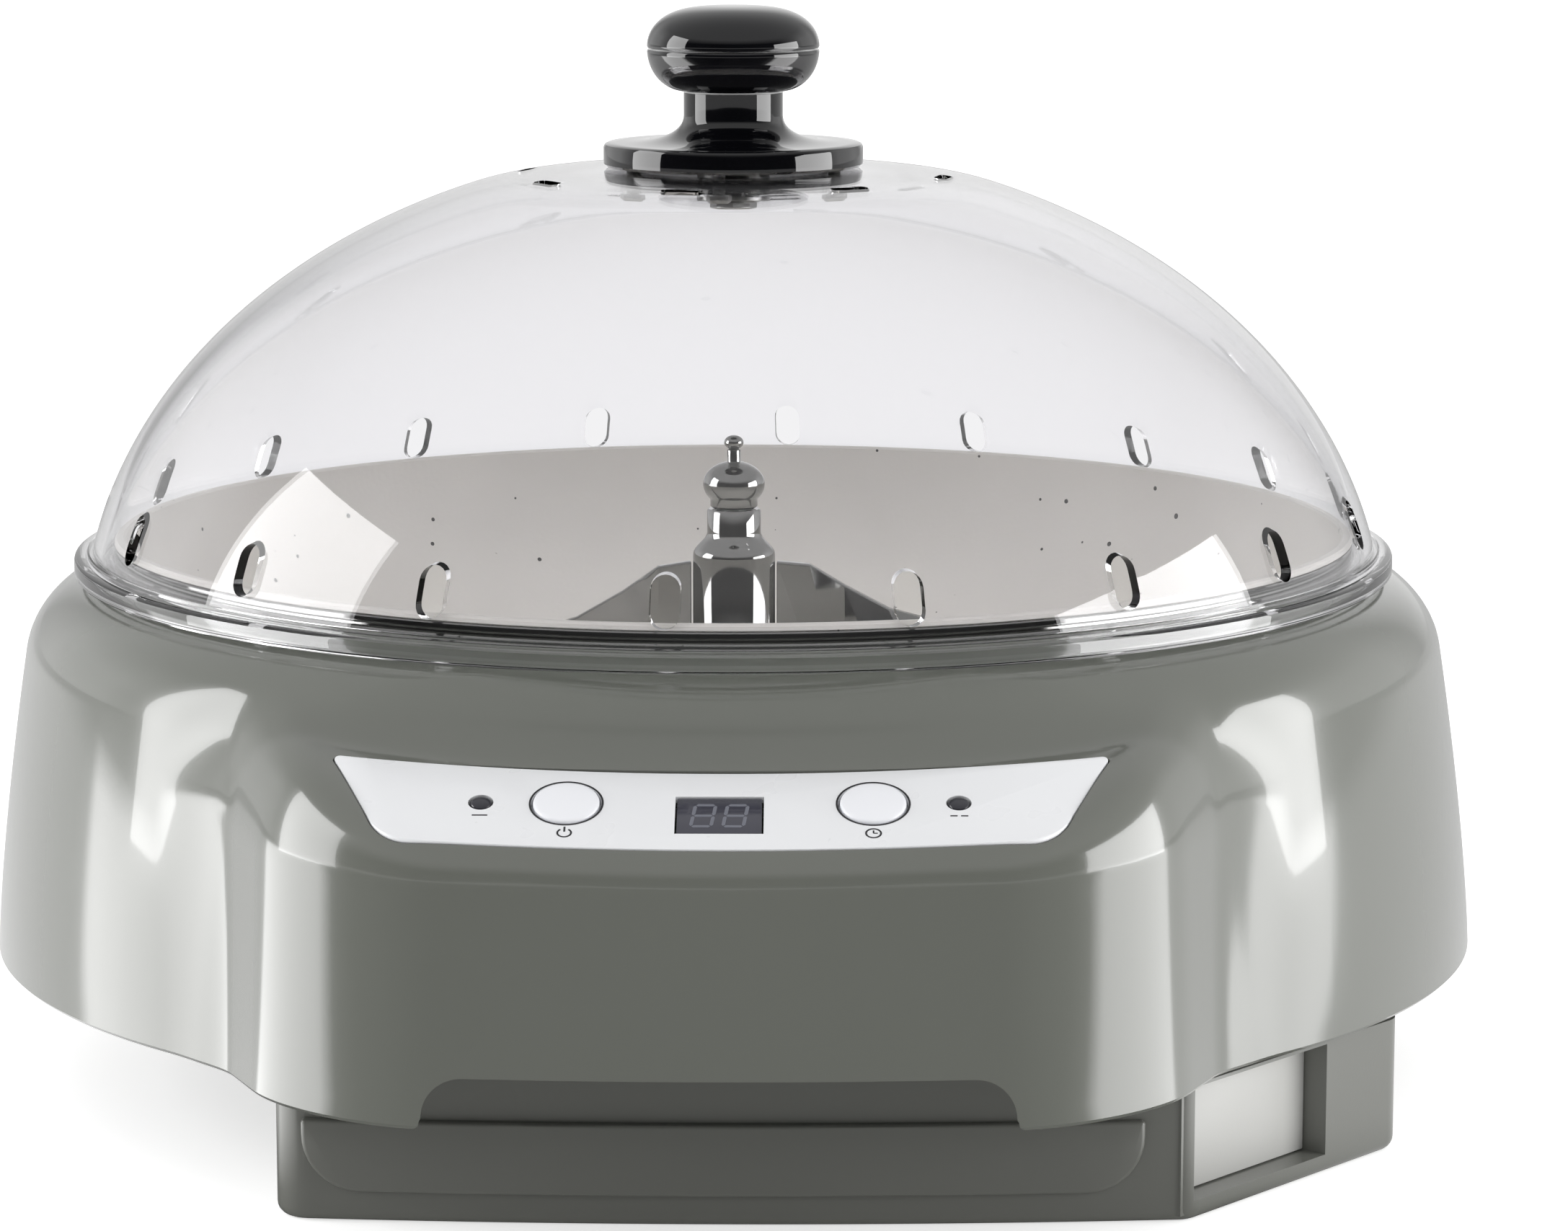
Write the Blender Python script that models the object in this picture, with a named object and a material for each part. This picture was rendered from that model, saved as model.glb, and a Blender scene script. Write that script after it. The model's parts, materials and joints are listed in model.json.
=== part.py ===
"""Countertop coffee bean roaster: a domed lid over a heated pan, with a stirrer driven from below.

Units are metres, +Z is up and the front faces -Y. The origin lies on the stirrer's axis, on the table.
"""
import math

import bmesh
import bpy
from mathutils import Matrix, Vector

# Gaps between pieces
SEAT_GAP = 0.0003
CUT_OVERRUN = 0.006
SLIDE_GAP = 0.00035

# Pan, the size that the round pieces follow
PAN_RADIUS = 0.1170
PAN_WALL = 0.0010
PAN_FLOOR_SHARE = 0.69
PAN_FLOOR_RADIUS = 0.0820
PAN_RIM_WIDTH = 0.0010
PAN_RIM_DEPTH = 0.0011
PAN_BOSS_RADIUS = 0.0140
PAN_BOSS_FOOT = 0.0060
PAN_BOSS_HEIGHT = 0.0043
PAN_STEPS = 40

# Polished collar under the pan's rim
COLLAR_WALL = 0.0009
COLLAR_DROP = 0.0042
COLLAR_FOOT_WIDTH = 0.0016
COLLAR_FOOT_THICKNESS = 0.0010
BAND_HEIGHT = 0.0036

# Shell, round part
DECK_HEIGHT = 0.0983
HEM_HEIGHT = 0.0261
SKIRT_SPREAD = 0.0220
SHELL_WALL = 0.0028
SHOULDER_RADIUS = 0.0140
WALL_TAPER = 0.0089
WALL_TAPER_POWER = 1.4
LIP_WALL = 0.0015
LIP_RISE = 0.0026

# Shell, front nose
NOSE_REACH = 0.1568
NOSE_BOW_RADIUS = 0.480
NOSE_SIDE_REACH = 0.1267
NOSE_SIDE_ANGLE = math.radians(66)
NOSE_CORNER_RADIUS = 0.0200
NOSE_DRAFT = 0.040
NOSE_EDGE_RADIUS = 0.0045
NOSE_SIDE_EDGE_RADIUS = 0.0150
NOSE_SIDE_EDGE_POWER = 6
NOSE_TOP_DROP = 0.0243
NOSE_TOP_SLOPE = math.radians(24)
NOSE_HALF_WIDTH = 0.0850
NOSE_REAR = 0.0600
NOSE_CREST_DROP = 0.0075
NOSE_CREST_RADIUS = 0.0100
VALLEY_RADIUS = 0.0060
FRONT_FLAT_REACH = 0.1293
FRONT_FLAT_BOW_RADIUS = 0.442
FRONT_FLAT_BLEND = 0.0100

# Notch in the nose's hem
NOTCH_HALF_WIDTH = 0.0502
NOTCH_HEIGHT = 0.0090
NOTCH_CORNER_RADIUS = 0.0070
NOTCH_FLARE_RADIUS = 0.0015

# Control panel, on the nose's sloping top
PANEL_SETBACK = 0.0046
PANEL_HALF_WIDTH = 0.0661
PANEL_TIP_HEIGHT = 0.0272
PANEL_MID_HEIGHT = 0.0218
PANEL_END_SHARES = (
    (0.00, 0.000),
    (0.28, 0.013),
    (0.53, 0.047),
    (0.72, 0.085),
    (0.79, 0.115),
    (0.85, 0.200),
    (0.895, 0.350),
    (0.945, 0.620),
    (0.990, 0.900),
    (1.000, 0.990),
)
PANEL_TOP_SHARES = ((0.97, 0.98), (0.75, 0.63), (0.50, 0.30), (0.25, 0.08), (0.00, 0.00))
PANEL_THICKNESS = 0.0013
PANEL_SINK = 0.0002

# Buttons, window and lamps, across the panel and up its slope
BUTTON_OFFSET = 0.0258
BUTTON_RISE = 0.0130
BUTTON_RADIUS = 0.0056
BUTTON_PROUD = 0.00035
BUTTON_FLANGE_WIDTH = 0.0013
BUTTON_FLANGE_THICKNESS = 0.0010
BUTTON_STEM_RADIUS = 0.0020
BUTTON_STEM_LENGTH = 0.0034
BUTTON_TRAVEL = 0.0005
WINDOW_WIDTH = 0.0149
WINDOW_HEIGHT = 0.0106
WINDOW_RISE = 0.0097
LAMP_OFFSET = 0.0402
LAMP_RISE = 0.0133
LAMP_RADIUS = 0.00185

# Board under the panel
BOARD_DEPTH = 0.0090
BOARD_THICKNESS = 0.0016
BOARD_HALF_WIDTH = 0.0570
BOARD_HEIGHT = 0.0180
BOARD_RISE = 0.0030
PEG_OFFSET = 0.0510
PEG_RISE = 0.0110
PEG_RADIUS = 0.0024
SWITCH_WIDTH = 0.0060
SMALL_SCREW_RADIUS = 0.0010
SMALL_SCREW_HEAD = 0.0020
SMALL_SCREW_HEAD_HEIGHT = 0.0014
SMALL_SCREW_LENGTH = 0.0060

# Base under the shell
BASE_FLOOR = 0.0025
BASE_WALL = 0.0025
BASE_TOP_HEIGHT = 0.0340
BASE_LEFT = 0.0785
BASE_RIGHT = 0.0820
BASE_FRONT = 0.1223
BASE_FRONT_SIDE = 0.1185
BASE_REAR = 0.1120
BASE_CORNER_RADIUS = 0.0060
SKIRT_CLEARANCE = 0.0012
BASE_BOTTOM_RADIUS = 0.0025
WING_REACH = 0.1223
WING_FRONT = 0.0710
WING_REAR = 0.0400
STEP_PROUD = 0.0020
STEP_BOTTOM = 0.0060
STEP_TOP = 0.0188
STEP_HALF_WIDTH = 0.0735
STEP_CORNER_RADIUS = 0.0100
STEP_SHELF = 0.0030

# Recess in the wing
RECESS_START = 0.0006
RECESS_WIDTH = 0.0397
RECESS_BOTTOM = 0.0038
RECESS_HEIGHT = 0.0205
RECESS_DEPTH = 0.0060
RECESS_PLATE_THICKNESS = 0.0010

# Posts and screws that hold shell and base together
POST_RING_RADIUS = 0.1232
POST_ANGLE = math.radians(56.7)
POST_RADIUS = 0.0036
POST_TOP_SHARE = 0.75
POST_SOCKET_RADIUS = 0.0056
POST_SOCKET_HEIGHT = 0.0070
BASE_SCREW_RADIUS = 0.0015
BASE_SCREW_HEAD = 0.0030
BASE_SCREW_HEAD_HEIGHT = 0.0022
BASE_SCREW_LENGTH = 0.0110
FOOT_RADIUS = 0.0065
FOOT_ACROSS = 0.0600
FOOT_ALONG = 0.0850
FOOT_THICKNESS = 0.0015

# Drive below the pan
MOTOR_RADIUS = 0.0250
MOTOR_LIFT = 0.0085
MOTOR_HEIGHT = 0.0220
MOTOR_EAR_REACH = 0.0330
MOTOR_EAR_WIDTH = 0.0110
MOTOR_EAR_THICKNESS = 0.0012
MOTOR_NOSE_RADIUS = 0.0065
MOTOR_NOSE_HEIGHT = 0.0050
MOTOR_BOSS_RADIUS = 0.0040
MOTOR_SCREW_RADIUS = 0.0015
MOTOR_SCREW_HEAD = 0.0028
MOTOR_SCREW_HEAD_HEIGHT = 0.0018
MOTOR_SCREW_LENGTH = 0.0090
SHAFT_RADIUS = 0.0035
SHAFT_SOCKET_DEPTH = 0.0120
THREAD_RADIUS = 0.0026
BUSH_WALL = 0.0022
BUSH_FLANGE_WIDTH = 0.0030
BUSH_FLANGE_THICKNESS = 0.0017
BUSH_TAIL = 0.0060

# Heater
ELEMENT_RADIUS = 0.0700
ELEMENT_TUBE_RADIUS = 0.0033
ELEMENT_SIDES = 8
ELEMENT_STEPS = 24
ELEMENT_GAP_ANGLE = math.radians(16)
ELEMENT_TAIL = 0.0100
ELEMENT_BEND = 0.0060
CLAMP_WIDTH = 0.0100
CLAMP_LENGTH = 0.0080
CLAMP_GRIP = 0.0020
CLAMP_COUNT = 3
SHIELD_POST_FIRST_ANGLE = math.radians(27)
SHIELD_RADIUS = 0.0950
SHIELD_WALL = 0.0010
SHIELD_RIM_HEIGHT = 0.0090
SHIELD_LIFT_SHARE = 0.51
SHIELD_HOLE_RADIUS = 0.0080
SHIELD_POST_RING = 0.0800
SHIELD_POST_RADIUS = 0.0036
THERMOSTAT_RADIUS = 0.0075
THERMOSTAT_HEIGHT = 0.0080
THERMOSTAT_OFFSET = 0.0330

# Stirrer
HUB_FLANGE_RADIUS = 0.0130
HUB_FLANGE_THICKNESS = 0.0034
HUB_RADIUS = 0.0080
HUB_HEIGHT = 0.0340
HUB_NECK_RADIUS = 0.0052
HUB_NECK_HEIGHT = 0.0045
HUB_LIFT = 0.0006
BLADE_CLEARANCE = 0.0017
BLADE_THICKNESS = 0.0020
BLADE_REACH = 0.1085
BLADE_ROOT_HEIGHT = 0.0200
BLADE_HEIGHT_SHARES = ((0.0, 1.00), (0.08, 0.95), (0.2, 0.62), (0.35, 0.46), (0.55, 0.42), (0.75, 0.46), (0.9, 0.42), (1.0, 0.22))
BLADE_LEAN = math.radians(24)
NUT_RADIUS = 0.0060
NUT_HEIGHT = 0.0090
NUT_FOOT_RADIUS = 0.0046
NUT_NECK_RADIUS = 0.0013
NUT_NECK_HEIGHT = 0.0022
NUT_TIP_RADIUS = 0.0019

# Lid
LID_SIDE_GAP = 0.0030
DOME_WALL = 0.0020
DOME_HEIGHT = 0.0959
DOME_SINK = 0.0153
DOME_POWER = 2.036
CROWN_FLAT = 0.0043
CROWN_WALL = 0.0026
FLANGE_THICKNESS = 0.0033
FLANGE_WIDTH = 0.0047
FLANGE_STEP_HEIGHT = 0.0011
FLANGE_STEP_WIDTH = 0.0025
LID_STEPS = 36
LID_TRAVEL = 0.1200
VENT_COUNT = 18
VENT_WIDTH = 0.0053
VENT_HEIGHT = 0.0092
VENT_LIFT = 0.0115
VENT_FIRST_ANGLE = math.radians(85.4)
TOP_VENT_COUNT = 8
TOP_VENT_RING = 0.0410
TOP_VENT_LENGTH = 0.0080
TOP_VENT_WIDTH = 0.0024
TOP_VENT_FIRST_ANGLE = math.radians(-102.4)

# Knob
KNOB_PLATE_RADIUS = 0.0249
KNOB_PLATE_EDGE = 0.0044
KNOB_PLATE_RISE = 0.0026
KNOB_STEM_FOOT = 0.0112
KNOB_STEM_RADIUS = 0.0095
KNOB_STEM_HEIGHT = 0.0140
KNOB_BALL_RADIUS = 0.0165
KNOB_BALL_DEPTH = 0.0079
KNOB_CAP_HEIGHT = 0.0080
KNOB_SCREW_RADIUS = 0.0023
KNOB_SCREW_HEAD = 0.0045
KNOB_SCREW_HEAD_HEIGHT = 0.0026
KNOB_SCREW_LENGTH = 0.0150
KNOB_WASHER_RADIUS = 0.0070
KNOB_WASHER_THICKNESS = 0.0010
PLATE_SCREW_RING = 0.0195
PLATE_SCREW_RADIUS = 0.0012
PLATE_SCREW_HEAD = 0.0024
PLATE_SCREW_HEAD_HEIGHT = 0.0016
PLATE_SCREW_LENGTH = 0.0052
PLATE_SCREW_COUNT = 4
PLATE_SCREW_FIRST_ANGLE = math.radians(-97)

# Cable gland at the rear
GLAND_HEIGHT = 0.0160
GLAND_BORE = 0.0035
GLAND_WALL = 0.0020
GLAND_FLANGE_WIDTH = 0.0028
GLAND_FLANGE_THICKNESS = 0.0022

# Places that follow from the sizes above
nose_top_height = DECK_HEIGHT - NOSE_TOP_DROP
pan_rim_radius = PAN_RADIUS + PAN_WALL + PAN_RIM_WIDTH
collar_radius = PAN_RADIUS + PAN_WALL + SEAT_GAP
opening_radius = collar_radius + COLLAR_WALL + SEAT_GAP
lip_radius = opening_radius + LIP_WALL
lip_top = DECK_HEIGHT + LIP_RISE
hem_radius = lip_radius + SKIRT_SPREAD
collar_foot_bottom = lip_top + SEAT_GAP
rim_top = collar_foot_bottom + BAND_HEIGHT + PAN_RIM_DEPTH
pan_floor = DECK_HEIGHT * PAN_FLOOR_SHARE
pan_depth = rim_top - pan_floor
pan_under = pan_floor - PAN_WALL
dome_radius = lip_radius + LID_SIDE_GAP + DOME_WALL
flange_bottom = DECK_HEIGHT + SEAT_GAP
dome_foot = flange_bottom - DOME_SINK
crown_top = dome_foot + DOME_HEIGHT - CROWN_FLAT
crown_under = crown_top - CROWN_WALL


def finish(name, colour, roughness, metallic=0.0, alpha=1.0):
    """A material with the piece's colour, roughness and metal value."""
    material = bpy.data.materials.new(name)
    material.use_nodes = True
    shader = material.node_tree.nodes["Principled BSDF"]
    shader.inputs["Base Color"].default_value = (*colour, 1.0)
    shader.inputs["Roughness"].default_value = roughness
    shader.inputs["Metallic"].default_value = metallic
    shader.inputs["Alpha"].default_value = alpha
    material.diffuse_color = (*colour, alpha)
    return material


def add_object(name, bm, look, parent=None, place=(0, 0, 0)):
    """Put a finished mesh into the scene under a name."""
    bmesh.ops.recalc_face_normals(bm, faces=bm.faces)
    mesh = bpy.data.meshes.new(name)
    bm.to_mesh(mesh)
    bm.free()
    mesh.shade_smooth()
    mesh.set_sharp_from_angle(angle=math.radians(35))
    obj = bpy.data.objects.new(name, mesh)
    bpy.context.scene.collection.objects.link(obj)
    obj.location = place
    obj.parent = parent
    if look is not None:
        mesh.materials.append(look)
    return obj


def add_frame(name, place, turn=(0, 0, 0)):
    """An empty that carries pieces made in its own directions."""
    frame = bpy.data.objects.new(name, None)
    bpy.context.scene.collection.objects.link(frame)
    frame.location = place
    frame.rotation_euler = turn
    return frame


def helper(obj):
    """Mark a shape that only cuts or joins."""
    obj.hide_render = True
    obj.display_type = "WIRE"
    return obj


def combine(target, other, operation):
    modifier = target.modifiers.new(other.name, "BOOLEAN")
    modifier.operation = operation
    modifier.solver = "EXACT"
    modifier.object = helper(other)


def cut(target, *cutters):
    for cutter in cutters:
        combine(target, cutter, "DIFFERENCE")


def join(target, *others):
    for other in others:
        combine(target, other, "UNION")


def turned_mesh(profile, steps):
    """Spin a closed outline of (radius, height) points about Z."""
    bm = bmesh.new()
    ring = [bm.verts.new((radius, 0, height)) for radius, height in profile]
    edges = [bm.edges.new((a, b)) for a, b in zip(ring, ring[1:] + ring[:1]) if a.co.x > 0 or b.co.x > 0]
    bmesh.ops.spin(bm, geom=ring + edges, axis=(0, 0, 1), cent=(0, 0, 0), angle=math.tau, steps=steps, use_merge=True)
    bmesh.ops.remove_doubles(bm, verts=bm.verts, dist=SEAT_GAP / 100)
    loose = [vert for vert in bm.verts if not vert.link_faces]
    bmesh.ops.delete(bm, geom=loose, context="VERTS")
    return bm


def turned(name, profile, steps, look, parent=None, place=(0, 0, 0)):
    return add_object(name, turned_mesh(profile, steps), look, parent, place)


def prism_mesh(outline, low, high):
    """Extrude a flat outline of (x, y) points from one height to another."""
    bm = bmesh.new()
    face = bm.faces.new([bm.verts.new((x, y, low)) for x, y in outline])
    grown = bmesh.ops.extrude_face_region(bm, geom=[face])
    tops = [item for item in grown["geom"] if isinstance(item, bmesh.types.BMVert)]
    bmesh.ops.translate(bm, verts=tops, vec=(0, 0, high - low))
    return bm


def prism(name, outline, low, high, look, parent=None, place=(0, 0, 0)):
    return add_object(name, prism_mesh(outline, low, high), look, parent, place)


def rectangle(x_low, x_high, y_low, y_high):
    return [(x_low, y_low), (x_high, y_low), (x_high, y_high), (x_low, y_high)]


def arc(centre, radius, start, end, steps):
    """Points on an arc about a centre, from one angle to another."""
    angles = [start + (end - start) * step / steps for step in range(steps + 1)]
    return [(centre[0] + radius * math.cos(a), centre[1] + radius * math.sin(a)) for a in angles]


def disc(centre, radius, steps):
    half_step = math.pi / steps
    return arc(centre, radius, half_step, math.tau + half_step, steps)[:-1]


def screw(name, shank, head, head_height, length, look, parent=None, place=(0, 0, 0), upward=True):
    """A pan-head screw whose head rests at the place's level and whose shank points up or down."""
    side = 1 if upward else -1
    profile = [
        (0, side * length),
        (shank, side * (length - shank)),
        (shank, 0),
        (head, 0),
        (head, -side * head_height * 0.6),
        (head * 0.7, -side * head_height),
        (0, -side * head_height),
    ]
    return turned(name, profile, 8, look, parent, place)


for old in list(bpy.data.objects):
    bpy.data.objects.remove(old, do_unlink=True)

grey_plastic = finish("grey_plastic", (0.125, 0.133, 0.115), 0.22)
base_plastic = finish("base_plastic", (0.105, 0.108, 0.098), 0.38)
plate_plastic = finish("plate_plastic", (0.47, 0.47, 0.46), 0.35)
panel_white = finish("panel_white", (0.82, 0.83, 0.86), 0.30)
button_white = finish("button_white", (0.86, 0.87, 0.90), 0.30)
dark_lens = finish("dark_lens", (0.03, 0.03, 0.04), 0.15)
lamp_dark = finish("lamp_dark", (0.02, 0.02, 0.03), 0.25)
black_gloss = finish("black_gloss", (0.004, 0.004, 0.005), 0.08)
clear_dome = finish("clear_dome", (0.90, 0.90, 0.93), 0.05, alpha=0.25)
pan_coating = finish("pan_coating", (0.54, 0.52, 0.50), 0.45)
polished_steel = finish("polished_steel", (0.60, 0.60, 0.60), 0.12, 1.0)
plain_steel = finish("plain_steel", (0.48, 0.48, 0.48), 0.35, 1.0)
sheet_steel = finish("sheet_steel", (0.55, 0.55, 0.54), 0.40, 1.0)
brass = finish("brass", (0.62, 0.45, 0.20), 0.35, 1.0)
board_green = finish("board_green", (0.02, 0.11, 0.05), 0.45)
switch_black = finish("switch_black", (0.015, 0.015, 0.015), 0.45)
rubber_black = finish("rubber_black", (0.012, 0.012, 0.012), 0.75)

lid_frame = add_frame("lid_frame", (0, 0, flange_bottom))
stirrer_frame = add_frame("stirrer_frame", (0, 0, 0))


# Shell form
def rounded_join(a, b, radius):
    """Distance outside the corner of two surfaces, with the corner rounded."""
    p = a + radius
    q = b + radius
    return min(max(p, q), 0) + math.hypot(max(p, 0), max(q, 0)) - radius


def shell_form(x, y, z):
    """How far a point lies outside the shell's skin; negative inside it."""
    rise_share = max(0, min(1, (z - HEM_HEIGHT) / (DECK_HEIGHT - HEM_HEIGHT)))
    wall = math.hypot(x, y) - hem_radius + WALL_TAPER * rise_share**WALL_TAPER_POWER
    flat = -y - FRONT_FLAT_REACH + x * x / (2 * FRONT_FLAT_BOW_RADIUS)
    round_part = rounded_join(rounded_join(wall, flat, FRONT_FLAT_BLEND), z - DECK_HEIGHT, SHOULDER_RADIUS)
    draft = NOSE_DRAFT * (z - HEM_HEIGHT)
    front = -y - NOSE_REACH + x * x / (2 * NOSE_BOW_RADIUS) + draft
    side = abs(x) * math.sin(NOSE_SIDE_ANGLE) - y * math.cos(NOSE_SIDE_ANGLE) - NOSE_SIDE_REACH + draft
    plan = rounded_join(front, side, NOSE_CORNER_RADIUS)
    foot_y = PANEL_SETBACK - NOSE_REACH
    top = (z - nose_top_height) * math.cos(NOSE_TOP_SLOPE) - (y - foot_y) * math.sin(NOSE_TOP_SLOPE)
    side_share = min(1, abs(x) / NOSE_HALF_WIDTH)
    edge = NOSE_EDGE_RADIUS + NOSE_SIDE_EDGE_RADIUS * side_share**NOSE_SIDE_EDGE_POWER
    crest = rounded_join(top, z - DECK_HEIGHT + NOSE_CREST_DROP, NOSE_CREST_RADIUS)
    nose = rounded_join(rounded_join(plan, crest, edge), y + NOSE_REAR, NOSE_EDGE_RADIUS)
    return -rounded_join(-round_part, -nose, VALLEY_RADIUS)


def meet(start, direction, depth):
    """Where a ray from inside the shell reaches the skin, or a depth below it."""
    near = 0.0
    far = 2 * hem_radius
    for _ in range(40):
        middle = (near + far) / 2
        if shell_form(*(start + direction * middle)) + depth < 0:
            near = middle
        else:
            far = middle
    return start + direction * near


# Rows of one rib, as shares of the fan of rays from the shell's core
OUTER_ROW_SHARES = (0.16, 0.32, 0.44, 0.49, 0.54, 0.63, 0.72, 0.78, 0.84, 0.90, 0.95)
INNER_ROW_SHARES = (0.92, 0.82, 0.66, 0.46, 0.24)
CORE_SHARE = 0.82
FRONT_STEPS = 6
CORNER_STEPS = 9
REAR_STEPS = 15
FRONT_SECTOR = math.radians(22)
CORNER_SECTOR = math.radians(45)


def rib(angle):
    """One closed section of the shell, in the upright half-plane at an angle from the front."""
    outward = Vector((math.sin(angle), -math.cos(angle), 0))
    up = Vector((0, 0, 1))
    core_height = (HEM_HEIGHT + DECK_HEIGHT) / 2
    core = outward * lip_radius * CORE_SHARE + up * core_height
    points = []
    for depth, shares, lip in ((0, OUTER_ROW_SHARES, lip_radius), (SHELL_WALL, INNER_ROW_SHARES, opening_radius)):
        hem = meet(outward * lip_radius * CORE_SHARE + up * HEM_HEIGHT, outward, depth)
        crest = meet(outward * lip + up * core_height, up, depth)
        low = math.atan2(hem.z - core.z, (hem - core).dot(outward))
        high = math.atan2(crest.z - core.z, (crest - core).dot(outward))
        fan = [low + (high - low) * share for share in shares]
        rows = [meet(core, outward * math.cos(a) + up * math.sin(a), depth) for a in fan]
        if depth == 0:
            points += [hem, *rows, crest, outward * lip + up * lip_top, outward * opening_radius + up * lip_top]
        else:
            points += [crest, *rows, hem]
    return points


def sector(start, end, steps):
    return [start + (end - start) * step / steps for step in range(steps)]


def shell_mesh():
    half = sector(0, FRONT_SECTOR, FRONT_STEPS) + sector(FRONT_SECTOR, CORNER_SECTOR, CORNER_STEPS)
    half += sector(CORNER_SECTOR, math.pi, REAR_STEPS) + [math.pi]
    angles = half + [-angle for angle in reversed(half[1:-1])]
    bm = bmesh.new()
    rings = [[bm.verts.new(point) for point in rib(angle)] for angle in angles]
    for ring, following in zip(rings, rings[1:] + rings[:1]):
        count = len(ring)
        for row in range(count):
            after = (row + 1) % count
            bm.faces.new((ring[row], ring[after], following[after], following[row]))
    return bm


body_shell = add_object("body_shell", shell_mesh(), grey_plastic)
panel_frame = add_frame("panel_frame", (0, PANEL_SETBACK - NOSE_REACH, nose_top_height), (NOSE_TOP_SLOPE, 0, 0))

# Posts under the shell's deck, and the places of the base screws
post_bottom = POST_SOCKET_HEIGHT + SEAT_GAP
post_top = DECK_HEIGHT - SHELL_WALL * POST_TOP_SHARE
post_places = [
    (sx * POST_RING_RADIUS * math.cos(POST_ANGLE), sy * POST_RING_RADIUS * math.sin(POST_ANGLE))
    for sx in (-1, 1)
    for sy in (-1, 1)
]
post_names = ("front_left", "rear_left", "front_right", "rear_right")
for place in post_places:
    post = prism("shell_post", disc(place, POST_RADIUS, 10), post_bottom, post_top, None)
    join(body_shell, post)
for place in post_places:
    pilot_top = post_bottom + BASE_SCREW_LENGTH
    pilot = disc(place, BASE_SCREW_RADIUS + SEAT_GAP, 8)
    cut(body_shell, prism("post_pilot", pilot, post_bottom - CUT_OVERRUN, pilot_top, None))

# Notch in the hem
notch_top = HEM_HEIGHT + NOTCH_HEIGHT
corner_centre = (NOTCH_HALF_WIDTH - NOTCH_CORNER_RADIUS, notch_top - NOTCH_CORNER_RADIUS)
flare_centre = (NOTCH_HALF_WIDTH + NOTCH_FLARE_RADIUS, HEM_HEIGHT + NOTCH_FLARE_RADIUS)
notch_half = [(NOTCH_HALF_WIDTH + NOTCH_FLARE_RADIUS, HEM_HEIGHT - CUT_OVERRUN)]
notch_half += arc(flare_centre, NOTCH_FLARE_RADIUS, 1.5 * math.pi, math.pi, 3)
notch_half += arc(corner_centre, NOTCH_CORNER_RADIUS, 0, math.pi / 2, 5)
notch_outline = notch_half + [(-x, height) for x, height in reversed(notch_half)]
notch = prism("notch_cutter", notch_outline, 0, NOSE_REACH - opening_radius, None)
notch.rotation_euler = (math.pi / 2, 0, 0)
notch.location = (0, -opening_radius - SHELL_WALL, 0)
cut(body_shell, notch)


# Control panel and what is set in it
def panel_outline(spread):
    """The panel's outline, across and up the slope, grown by a gap."""
    right = [(across * PANEL_HALF_WIDTH, up * PANEL_TIP_HEIGHT) for across, up in PANEL_END_SHARES]
    dip = PANEL_TIP_HEIGHT - PANEL_MID_HEIGHT
    right += [(across * PANEL_HALF_WIDTH, PANEL_MID_HEIGHT + up * dip) for across, up in PANEL_TOP_SHARES]
    middle = Vector((0, PANEL_MID_HEIGHT / 2))
    outline = right + [(-x, y) for x, y in reversed(right[1:-1])]
    grown = []
    for index, (x, y) in enumerate(outline):
        before = Vector(outline[index - 1])
        after = Vector(outline[(index + 1) % len(outline)])
        along = (after - before).normalized()
        normal = Vector((along.y, -along.x))
        if normal.dot(Vector((x, y)) - middle) < 0:
            normal = -normal
        grown.append((x + normal.x * spread, y + normal.y * spread))
    return grown


panel_top = -PANEL_SINK
panel_under = panel_top - PANEL_THICKNESS
recess_floor = panel_under - SEAT_GAP
button_hole = BUTTON_RADIUS + SLIDE_GAP
flange_radius = BUTTON_RADIUS + BUTTON_FLANGE_WIDTH
flange_top = panel_under - SEAT_GAP
stem_end = flange_top - BUTTON_FLANGE_THICKNESS - BUTTON_STEM_LENGTH
switch_top = stem_end - BUTTON_TRAVEL - SEAT_GAP / 2
board_top = -BOARD_DEPTH
part_foot = board_top + SEAT_GAP
window_low = WINDOW_RISE - WINDOW_HEIGHT / 2
window_high = WINDOW_RISE + WINDOW_HEIGHT / 2
control_sides = (("power", -1), ("timer", 1))
lamp_sides = (("power", -1), ("working", 1))

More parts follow.
